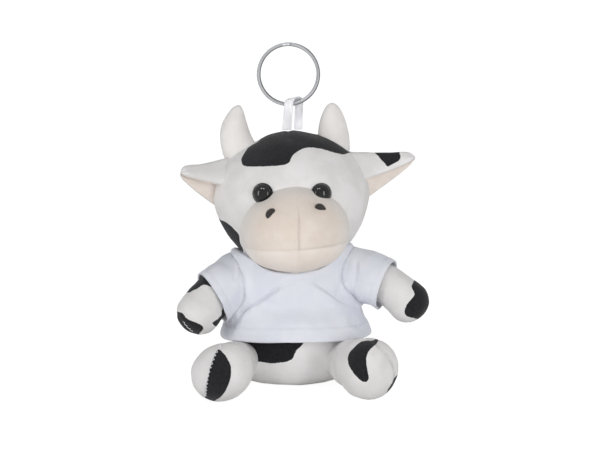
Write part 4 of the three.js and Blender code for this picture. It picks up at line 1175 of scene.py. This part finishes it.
def blend_of(a, b, width, sign=1):
    """The lower of two distances, or with sign -1 the higher, rounded where they meet."""
    h = np.maximum(width - np.abs(a - b), 0) / width
    return (np.minimum(a, b) if sign > 0 else np.maximum(a, b)) - sign * h * h * width / 4


SLEEVE_LINES = {side: ARM_LINES[side][:64:2] for side in SIDES}


def sleeve_far(p, side):
    """Roughly how far points are outside a sleeve's tube, and how far along the arm they are."""
    line = SLEEVE_LINES[side]
    far, along = to_line(p, line)
    place = along * (len(line) - 1)
    share = place * 2 / (ARM_STEPS - 1)
    k = np.clip(place.astype(int), 0, len(line) - 2)
    centre = line[k] + (line[k + 1] - line[k]) * (place - k)[:, None]
    way = unit(line[k + 1] - line[k])
    upright = unit(np.array([0, 0, 1]) - way * way[:, 2:])
    upness = ((p - centre) * upright).sum(1) / np.maximum(far, 1e-6)
    t = np.clip((share - SLEEVE_FROM) / (SLEEVE_TO - SLEEVE_FROM), -0.3, 1.3)
    above, below = (
        lerp(lerp(r[0], r[1], smooth(t, 0, 0.45)), r[2], smooth(t, 0.45, 1))
        for r in (SLEEVE_ABOVE[side], SLEEVE_BELOW[side])
    )
    return far - lerp(below, above, (1 + upness) / 2), share


def shirt_far(p):
    """Roughly how far points are outside the shirt, its trunk and sleeves run together."""
    far = trunk_far(p)
    for side, sign in SIDES.items():
        near = p[:, 0] * sign > 6
        far[near] = blend_of(far[near], sleeve_far(p[near], side)[0], 3.0)
    return far


def slope(field, p):
    """How fast a field of distances rises at points, each way."""
    h = 0.04
    return np.stack([(field(p + s) - field(p - s)) / (2 * h) for s in np.eye(3) * h], 1)


def onto(p, *fields):
    """Points moved onto the surface where each field is 0."""
    for _ in range(3):
        for field in fields:
            g = slope(field, p)
            p = p - g * (field(p) / np.maximum((g * g).sum(1), 0.05))[:, None]
    return p


def rough_shirt():
    """The shirt's closed outside, as an even mesh."""
    angle = turns(48)
    rings = []
    for share in np.linspace(0, 1, 16):
        level = {k: float(v) for k, v in levels(share).items()}
        z = level["height"] + level["saddle"] * np.cos(angle) ** 2 - (5 if share == 0 else 0)
        rings.append(np.stack([level["x"] + level["a"] * np.cos(angle), level["b"] * np.sin(angle), z], 1))
    rings += [top_at(angle, 1), top_at(angle, 0)]
    trunk = skin([np.array([[1.7, 0, 15.3]])] + rings + [np.array([[0, 0, 45.4]])])
    forms = [trunk] + [closed_tube(ARM_LINES[side][4:62], 10, 40) for side in SIDES]
    parts = [make(f"shirt_part_{k}", *form, JERSEY_CLOTH) for k, form in enumerate(forms)]
    bpy.ops.object.select_all(action="DESELECT")
    for part in parts:
        part.select_set(True)
    bpy.context.view_layer.objects.active = parts[0]
    bpy.ops.object.join()
    remesh = parts[0].modifiers.new("even", "REMESH")
    remesh.mode, remesh.voxel_size = "VOXEL", 0.0006
    evened = parts[0].evaluated_get(bpy.context.evaluated_depsgraph_get()).to_mesh()
    points = np.empty(len(evened.vertices) * 3)
    evened.vertices.foreach_get("co", points)
    faces = [tuple(f.vertices) for f in evened.polygons]
    parts[0].to_mesh_clear()
    bpy.data.objects.remove(parts[0])
    return points.reshape(-1, 3) * 1000, faces


shirt_points, shirt_faces = rough_shirt()
shirt_points = onto(shirt_points, shirt_far)


def hem_over(p):
    """How far points are over the hem."""
    phi = np.arctan2(p[:, 1] / SHIRT["b"][0], (p[:, 0] - SHIRT["x"][0]) / SHIRT["a"][0])
    return p[:, 2] - (SHIRT["height"][0] + SHIRT["saddle"][0] * np.cos(phi) ** 2 + 0.03 * np.minimum(p[:, 0], 0))


def neck_over(p):
    """Over 0 outside the neckline and below it, under 0 in the neck's opening."""
    return (np.hypot(p[:, 0] / NECKLINE["a"], p[:, 1] / NECKLINE["b"]) - 1) * 15 + np.maximum(0, 43 - p[:, 2]) * 10


def cuff_over(side):
    """A field of how far points are inside a cuff, and 5 away from it."""
    at, way = np.array(CUFFS[side][0], float), unit(CUFFS[side][1])

    def over(p):
        ahead = (at - p) @ way
        near = (p[:, 0] * SIDES[side] > 12) & (np.linalg.norm(p - at, axis=1) < 24)
        near &= trunk_far(p) - sleeve_far(p, side)[0] > -1.5
        return np.where(near, ahead, 5)
    return over


def trimmed(points, faces, over):
    """A mesh cut where a field is 0, its new edge moved onto that line."""
    faces = np.array([f if len(f) == 4 else (*f, f[-1]) for f in faces])
    keep = over(points[faces].mean(1)) > 0
    gone = np.unique(faces[~keep])
    faces = faces[keep]
    edge = np.intersect1d(gone, np.unique(faces))
    points = points.copy()
    points[edge] = onto(points[edge], over, shirt_far)
    return points, faces


for over in (hem_over, neck_over, cuff_over("left"), cuff_over("right")):
    shirt_points, shirt_faces = trimmed(shirt_points, shirt_faces, over)


def sleeve_over(p):
    """Over 0 on the sleeves' cloth, under 0 on the trunk's."""
    far = trunk_far(p)
    best = np.full(len(p), -30.0)
    for side, sign in SIDES.items():
        near = p[:, 0] * sign > 8
        best[near] = far[near] - sleeve_far(p[near], side)[0] - ARMHOLE_OUT
    return best


on_sleeve = sleeve_over(shirt_points[shirt_faces].mean(1)) > 0
armhole = np.intersect1d(np.unique(shirt_faces[on_sleeve]), np.unique(shirt_faces[~on_sleeve]))
shirt_points[armhole] = onto(shirt_points[armhole], sleeve_over, shirt_far)


def relaxed(points, edges, held):
    """Points moved to the middle of their neighbours, along the surface, but for the held ones."""
    free = np.setdiff1d(np.unique(edges), held)
    for _ in range(4):
        total, count = np.zeros_like(points), np.zeros(len(points))
        for a, b in (edges.T, edges.T[::-1]):
            np.add.at(total, a, points[b])
            np.add.at(count, a, 1)
        points = points.copy()
        points[free] = onto(total[free] / count[free, None], shirt_far)
    return points


edges = np.concatenate([shirt_faces[:, [k, (k + 1) % 4]] for k in range(4)])
edges = edges[edges[:, 0] != edges[:, 1]]
alone, uses = np.unique(np.sort(edges, axis=1), axis=0, return_counts=True)
shirt_points = relaxed(shirt_points, edges, np.union1d(armhole, alone[uses == 1]))

used = np.unique(shirt_faces)
renumber = np.zeros(len(shirt_points), int)
renumber[used] = np.arange(len(used))
shirt_points, shirt_faces = shirt_points[used], renumber[shirt_faces]
armhole = renumber[armhole]
out = unit(slope(shirt_far, shirt_points))
x, y, z = shirt_points.T
far_hem, over_arm = hem_over(shirt_points), sleeve_over(shirt_points)


def beside(line):
    """Signed distance from a line drawn on the front, below it being over 0, and the share along it."""
    flat, path = shirt_points[:, [0, 2]], curve_through(line, 60)
    far, along = to_line(flat, path)
    ends = reached(path)
    k = np.clip(np.searchsorted(ends / ends[-1], along, side="right") - 1, 0, len(path) - 2)
    way, off = path[k + 1] - path[k], flat - path[k]
    return far * np.where(way[:, 0] * off[:, 1] > way[:, 1] * off[:, 0], -1, 1), along


def fold(line, size, width):
    """A fold along a line, which fades at its ends."""
    d, along = beside(line)
    return size * bump(d, width) * smooth(along, 0, 0.2) * (1 - smooth(along, 0.8, 1))


# The big fold over the belly
ARCH = [
    (-20.8, 28.2), (-15.5, 32.2), (-10.2, 36), (-5, 40.1), (-0.8, 41.9), (3, 42.5), (6.5, 42.3), (10, 40.9),
    (14.6, 37.6), (18.4, 34.4), (22.8, 31.6),
]


def room_for_arm(side, points, over_arm):
    """How far the shirt's trunk gives way to an arm that is pressed down to its limit."""
    joint = next(j for j in frame["joints"] if j["name"] == f"arm_{side}_raise")
    at = np.array(joint["pos_m"], float) * 1000
    turned = (ARM_LINES[side] - at) @ turn_about(joint["axis"], joint["range_deg"][0]).T + at
    far, along = to_line(points, turned)
    near = smooth(-over_arm, -0.5, 1) * smooth(along, 0.12, 0.25)
    return np.clip(radius_at(ARM_RADII[side], along) + 0.8 - far, 0, 3) * near


# Folds and seams of the cloth, as heights over it
front = smooth(-y, 4, 12)
folds = np.zeros(len(shirt_points))
d, along = beside(ARCH)
arch_shares = (0, 0.04, 0.12, 0.32, 0.47, 0.57, 0.66, 0.74, 0.88, 1)
size = np.interp(along, arch_shares, (0, 0.9, 1.7, 1.5, 0.85, 0.4, 0.55, 1.2, 1.1, 0))
crest, groove, hollow = smooth(d, -0.1, 0.5) * bump(d, 3.2), bump(d + 0.35, 0.55), bump(d + 2.5, 3.2)
folds += front * size * (0.75 * crest - 0.75 * groove - 0.35 * hollow)
for line, size, width in (
    ([(-15.5, 49.5), (-11, 46)], 0.5, 1.1),
    ([(-20.3, 52), (-19.8, 47), (-19.3, 40), (-20, 33)], 0.75, 1.5),
    ([(-22.6, 52), (-22.6, 47), (-22.4, 42)], 0.4, 1.0),
    ([(22.5, 52), (21, 46), (18.6, 39), (17.6, 34)], 0.75, 1.3),
    ([(25.6, 52), (24.9, 46), (23.9, 39), (24.8, 34.5), (28, 32), (33, 31)], 1.0, 1.0),
    ([(-26, 34), (-24.5, 27), (-25, 22)], 0.6, 2.2),
    ([(22, 27), (25, 25), (27, 24.5)], 0.45, 1.6),
):
    folds -= front * fold(line, size, width)
rear = smooth(y, 4, 12)
for line, size in (
    ([(-20, 40), (-9, 37.5), (4, 39), (17, 42)], 0.6),
    ([(-16, 29), (0, 27), (18, 30)], 0.5),
    ([(12, 46), (17, 38), (19, 31)], 0.6),
):
    folds += rear * fold(line, size, 2.2)
quiet = np.clip(1 - 0.8 * bump(far_hem, 3) - 0.6 * bump(over_arm, 1.2), 0, 1)
folds += 0.32 * ripple(shirt_points * (1, 1, 0.45), 13, 90) * quiet
folds += 0.12 * ripple(shirt_points * (1, 1, 0.6), 5, 91) * quiet
folds += 0.3 * np.sin(np.arctan2(y, x) * 9 + 0.6) * (1 - smooth(far_hem, 0, 9))
for side, sign in SIDES.items():
    on = smooth(over_arm, 0.4, 3) * (x * sign > 0)
    share = sleeve_far(shirt_points, side)[1]
    below_arm = smooth(-(shirt_points - ARM_LINES[side][24]) @ np.array([sign * -0.3, 0.2, 1]), -2, 7)
    folds += on * 0.2 * np.sin(share * 36 + 0.18 * y + sign) * below_arm * (1 - smooth(share, 0.5, 0.62))
    cuff = cuff_over(side)(shirt_points)
    folds += np.where(cuff < 4.9, 0.3 * (1 - smooth(cuff, 2.3, 2.6)), 0)
folds += 0.32 * (1 - smooth(far_hem, 4.8, 5.2)) * smooth(far_hem, -0.2, 0.3)
# the armhole seam's groove; as the seam value it also paints shade along the armholes
grooved = bump(over_arm, 0.6)
folds += 0.3 * bump(np.abs(over_arm + 1.1), 1.0) - 0.3 * grooved
shirt_points = shirt_points + out * folds[:, None]
for side in SIDES:
    shirt_points = shirt_points - out * room_for_arm(side, shirt_points, over_arm)[:, None]
x, y, z = shirt_points.T  # with room for the head, over the sleeves
ceiling = under_head(x, y) - 0.25 - HEAD_NODS * np.maximum(0, -y) - HEAD_TIPS * np.maximum(0, y)
shirt_points[:, 2] = np.where(over_arm > -1.5, np.minimum(z, ceiling), z)


def weave_of(across, along):
    """The place of each point in its cloth's weave, in millimetres."""
    return np.column_stack([across, along, np.zeros(len(along))])


def cloth_of(name, chosen, body, weave):
    """A side of the shirt as a cloth of its thickness."""
    kept, faces = np.unique(shirt_faces[chosen], return_inverse=True)
    faces, n = [tuple(dict.fromkeys(f)) for f in faces.reshape(-1, 4).tolist()], len(kept)
    directed = dict.fromkeys((a, b) for f in faces for a, b in zip(f, f[1:] + f[:1]) if a != b)
    faces = [f for f in faces + [tuple(i + n for i in reversed(f)) for f in faces] if len(f) > 2]
    faces += [(a + n, b + n, b, a) for a, b in directed if (b, a) not in directed]
    both = np.vstack([shirt_points[kept], shirt_points[kept] - out[kept] * JERSEY])
    values = {"weave": np.tile(weave[kept], (2, 1)), "seam": np.tile(grooved[kept], 2)}
    return make(name, both, faces, JERSEY_CLOTH, body, **values)


weave_trunk = weave_of(np.arctan2(y / GIRTH[1], x / GIRTH[0]) * GIRTH[0], z)
trunk_piece = cloth_of("shirt_body", ~on_sleeve, "torso", weave_trunk)
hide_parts("shirt")
for side, sign in SIDES.items():
    chosen = on_sleeve & (shirt_points[shirt_faces].mean(1)[:, 0] * sign > 0)
    share, steps = sleeve_far(shirt_points, side)[1], ARM_STEPS - 1
    radial = shirt_points - ARM_LINES[side][np.clip((share * steps).astype(int), 0, steps)]
    weave_arm = weave_of(np.arctan2(radial[:, 2], radial[:, 1]) * 10, share * 35)
    sleeve = cloth_of(f"shirt_sleeve_{side}", chosen, None, weave_arm)
    edge = shirt_points[armhole][shirt_points[armhole][:, 0] * sign > 0]
    middle = edge.mean(0)  # the armhole's middle, and the way square to it, outwards
    way = np.linalg.svd(edge - middle)[2][2]
    way = way * math.copysign(1, way[0] * sign)
    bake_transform(sleeve)
    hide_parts(f"sleeve_{side}")


# Neckband

angle, section = turns(300), turns(14)
rings = []
for turn in section:
    inwards, up = 1.5 - 1.1 * math.cos(turn), -0.5 + 0.5 * math.sin(turn)
    rib = 0.09 * np.cos(angle * 110) * max(0, math.sin(turn))
    edge = top_at(angle, 0)
    shrink = 1 - inwards / np.hypot(edge[:, 0], edge[:, 1])[:, None]
    rings.append(np.column_stack([edge[:, :2] * shrink, edge[:, 2] + up + rib]))
band_points, band_faces = skin(rings, loop=True)
band = make(
    "neckband_rib", band_points, band_faces, JERSEY_CLOTH, "torso",
    weave=weave_of(np.tile(angle * 16, len(section)), np.repeat(np.arange(len(section)) * 0.4, len(angle))),
    seam=np.zeros(len(band_points)),
)
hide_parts("collar")


# Ribbon and ring

wire_radius = RING["outer"] - RING["wire"] / 2
ring_depth = 2 * RING["thick"] + RING["gap"]
root = from_head([(RIBBON["root"], 0, crown_at(RIBBON["root"]))])[0]
grip = math.radians(RIBBON["grip"])
wire_at = np.array([RIBBON["ring_x"] + wire_radius * math.sin(grip), root[1], root[2] + RIBBON["rise"]])
ring_centre = np.array([RIBBON["ring_x"], root[1], wire_at[2] + wire_radius * math.cos(grip)])
bow = wire_radius - math.sqrt(wire_radius**2 - (RIBBON["width"] / 2) ** 2)
bend_radius = math.hypot(RING["wire"], ring_depth) / 2 + bow + GAP + RIBBON["thick"] / 2


def ribbon_form():
    """The ribbon's two strands and the bend between them, drawn in at the wire and slightly crumpled."""
    t = np.linspace(0, 1, 26)
    off = lerp(RIBBON["thick"] * 0.6, bend_radius, smooth(t, 0, 1))
    stations = [(-a, RIBBON["rise"] * b, -1.0) for a, b in zip(off, t)]
    stations += [
        (-bend_radius * math.cos(a), RIBBON["rise"] + bend_radius * math.sin(a), -math.cos(a))
        for a in np.linspace(0, math.pi, 24)[1:-1]
    ]
    stations += [(a, RIBBON["rise"] * b, 1.0) for a, b in zip(off[::-1], t[::-1])]
    across = np.linspace(-1, 1, 17)
    rings, weaves, length = [], [], 0
    for k, (off, rise, strand) in enumerate(stations):
        before, after = stations[max(k - 1, 0)], stations[min(k + 1, len(stations) - 1)]
        run = unit([0, after[0] - before[0], after[1] - before[1]])
        away = np.array([0, -run[2], run[1]])
        share = min(1, rise / RIBBON["rise"])
        x_at = lerp(root[0], wire_at[0], share) + lerp(2.25, 2.05, share) * strand
        wide = np.array([math.cos(grip * share), 0, math.sin(grip * share)])
        narrow = lerp(0.62, 0.64, float(smooth(share, 0.55, 1))) - 0.03 * strand
        curl = 0.4 * (1 - across**2) * (1 - smooth(share, 0.6, 1))
        curl = curl + 0.14 * np.cos(across * math.pi * 1.5 + strand * 2 + share * 4) * bump(share - 0.55, 0.35)
        crumple = 0.16 * np.sin(across * 9 + rise * 0.9 + strand) * smooth(share, 0.75, 1)
        middle = np.array([x_at, root[1] + off, root[2] + rise])
        middle = middle + wide * (across * RIBBON["width"] / 2 * narrow)[:, None] + away * (curl + crumple)[:, None]
        thin = away * RIBBON["thick"] / 2
        rings.append(np.vstack([middle + thin, middle[::-1] - thin]))
        if k:
            length += math.dist(stations[k - 1][:2], stations[k][:2])
        around = np.concatenate([across, across[::-1]]) * RIBBON["width"] / 2
        weaves.append(weave_of(around, np.full(len(around), length)))
    return *capped(rings), np.vstack([weaves[0][:1]] + weaves + [weaves[-1][:1]])


ribbon_points, ribbon_faces, ribbon_weave = ribbon_form()
ribbon = make("ribbon_satin", ribbon_points, ribbon_faces, SATIN, None, weave=ribbon_weave)
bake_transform(ribbon)
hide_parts("ribbon")


def ring_station(turn):
    """The middle of the wire after so many turns, and the way out of the ring there. It changes layer at one turn."""
    jog = RING["jog"] / 360
    layer = float(smooth(turn, 1 - jog / 2, 1 + jog / 2)) - 0.5
    a = 2 * math.pi * turn + math.radians(RING["from_top"])
    away = np.array([math.sin(a), 0, math.cos(a)])
    return away * wire_radius + np.array([0, layer * (RING["thick"] + RING["gap"]), 0]), away


first = RING["jog"] / 720 + 0.004
section, wear_and_edge_shade = [], []
for turn in turns(40):
    c, d = math.cos(turn), math.sin(turn)
    round_off = (abs(c) ** 5 + abs(d) ** 5) ** (-1 / 5)  # a flat wire's section, with round corners
    section.append((RING["wire"] / 2 * c * round_off, RING["thick"] / 2 * d * round_off))
    # how near each point of the section is to the wire's edges, signed outer or inner, for the painted edge shadow
    wear_and_edge_shade.append(math.copysign(float(smooth(min(abs(c), abs(d)) * round_off, 0.3, 0.6)), c))
rings, weaves, ring_edge_shade = [], [], [[0]]
for turn in np.linspace(first, 2 - first, 420):
    centre, away = ring_station(turn)
    rings.append(np.array([centre + away * u + np.array([0, v, 0]) for u, v in section]))
    # painted shadow: the inner edge darker over the ring's left half and the outer edge over its right half, as the
    # shade in the gap between its turns
    ring_edge_shade.append(np.abs(wear_and_edge_shade) * (0.35 + 0.65 * np.clip(away[0] * np.sign(wear_and_edge_shade) * 1.5, 0, 1)))
    weaves.append(weave_of(np.arange(len(section)) * 0.3, np.full(len(section), turn * 0.5)))
ring_points, ring_faces = capped(rings)
ring_weave = np.vstack([weaves[0][:1]] + weaves + [weaves[-1][:1]]) * 0.001
ring_edge_shade = np.concatenate(ring_edge_shade + [[0]])
ring = make("key_ring_wire", ring_points + ring_centre, ring_faces, STEEL, "ring", weave=ring_weave, edge=ring_edge_shade)
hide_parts("split_ring")


# Floor, light and camera

floor_mesh = bpy.data.meshes.new("floor")
profile = [(-2.5, 0), (-1.2, 0), (0.4, 0), (0.8, 0.02), (1.05, 0.12), (1.2, 0.35), (1.25, 0.7), (1.25, 1.8)]
across = 12
floor_points = [(x, y, z - 0.0002) for y, z in profile for x in np.linspace(-2.5, 2.5, across)]
corners = [row * across + k for row in range(len(profile) - 1) for k in range(across - 1)]
floor_mesh.from_pydata(floor_points, [], [(k, k + 1, k + 1 + across, k + across) for k in corners])
floor = bpy.data.objects.new("floor", floor_mesh)
bpy.context.scene.collection.objects.link(floor)


def seen_by(tree, *rays):
    """1 to the kinds of ray named, and 0 to all others."""
    paths = tree.nodes.new("ShaderNodeLightPath")
    total = paths.outputs[rays[0]]
    for ray in rays[1:]:
        either = tree.nodes.new("ShaderNodeMath")
        either.operation, either.use_clamp = "ADD", True
        tree.links.new(total, either.inputs[0])
        tree.links.new(paths.outputs[ray], either.inputs[1])
        total = either.outputs[0]
    return total


paper = bpy.data.materials.new("studio_paper")
paper.use_nodes = True
tree = paper.node_tree
tree.nodes.clear()
plain, glow, weak, shown, mixed, final = (tree.nodes.new(f"ShaderNode{kind}") for kind in (
    "BsdfDiffuse", "Emission", "BsdfDiffuse", "AddShader", "MixShader", "OutputMaterial",
))
plain.inputs["Color"].default_value = (0.9, 0.9, 0.9, 1)
glow.inputs["Strength"].default_value = 0.92
weak.inputs["Color"].default_value = (0.3, 0.3, 0.3, 1)
for output, socket in (
    (glow.outputs[0], shown.inputs[0]), (weak.outputs[0], shown.inputs[1]),
    (seen_by(tree, "Is Camera Ray", "Is Glossy Ray", "Is Transmission Ray"), mixed.inputs[0]),
    (plain.outputs[0], mixed.inputs[1]), (shown.outputs[0], mixed.inputs[2]), (mixed.outputs[0], final.inputs[0]),
):
    tree.links.new(output, socket)
floor_mesh.materials.append(paper)

world = bpy.data.worlds.new("studio")
bpy.context.scene.world = world
world.use_nodes = True
tree = world.node_tree
ambient = tree.nodes["Background"]
ambient.inputs["Color"].default_value = (1, 1, 1, 1)
level = tree.nodes.new("ShaderNodeMapRange")
level.inputs["To Min"].default_value = 0.38
level.inputs["To Max"].default_value = 1.0
tree.links.new(seen_by(tree, "Is Camera Ray", "Is Transmission Ray", "Is Glossy Ray"), level.inputs["Value"])
tree.links.new(level.outputs[0], ambient.inputs["Strength"])


def lamp(name, place, size, power, towards=(0, 0, 0.06)):
    """A rectangular lamp of a size in metres and a power in watts, turned towards a point."""
    light = bpy.data.lights.new(name, "AREA")
    light.shape, light.size, light.size_y, light.energy = "RECTANGLE", size[0], size[1], power
    made = bpy.data.objects.new(name, light)
    bpy.context.scene.collection.objects.link(made)
    made.location = place
    way = np.array(towards, float) - np.array(place, float)
    made.rotation_euler = Vector(way).to_track_quat("-Z", "Y").to_euler()
    return made


def away(azimuth, elevation, distance):
    """A place seen from the face at an azimuth to the right of straight ahead and an elevation, in metres."""
    a, e = math.radians(azimuth), math.radians(elevation)
    return distance * math.sin(a) * math.cos(e), -distance * math.cos(a) * math.cos(e), 0.075 + distance * math.sin(e)


fill = lamp("front_low", (0, -1.5, 0.22), (3.0, 0.4), 7.5, (0, 0, 0.03))
fill.visible_glossy = False  # a fill light behind the camera, which polished pieces don't mirror
lamp("strip_left", away(-52, 8, 0.6), (0.08, 0.34), 0.8)
lamp("strip_right", away(38, 6, 0.6), (0.08, 0.34), 0.85)
lamp("back", away(165, 38, 1.6), (1.6, 0.8), 5.0).visible_glossy = False
for name, azimuth, elevation in (("high_left", -36, 51), ("high_right", -5, 53)):
    spark = lamp(name, away(azimuth, elevation, 1.0), (0.18, 0.18), 1.6)
    spark.visible_diffuse = False  # seen in the eyes and the ring, without lighting the cloth

camera = bpy.data.objects.new("camera", bpy.data.cameras.new("camera"))
bpy.context.scene.collection.objects.link(camera)
camera.data.lens, camera.data.sensor_width = FOCAL * SENSOR / PICTURE[0], SENSOR
camera.location = tuple(CAMERA_AT * 0.001)
camera.rotation_euler = (math.pi / 2 - CAMERA_TILT, 0, 0)
bpy.context.scene.camera = camera
bpy.context.scene.view_settings.view_transform = "Standard"
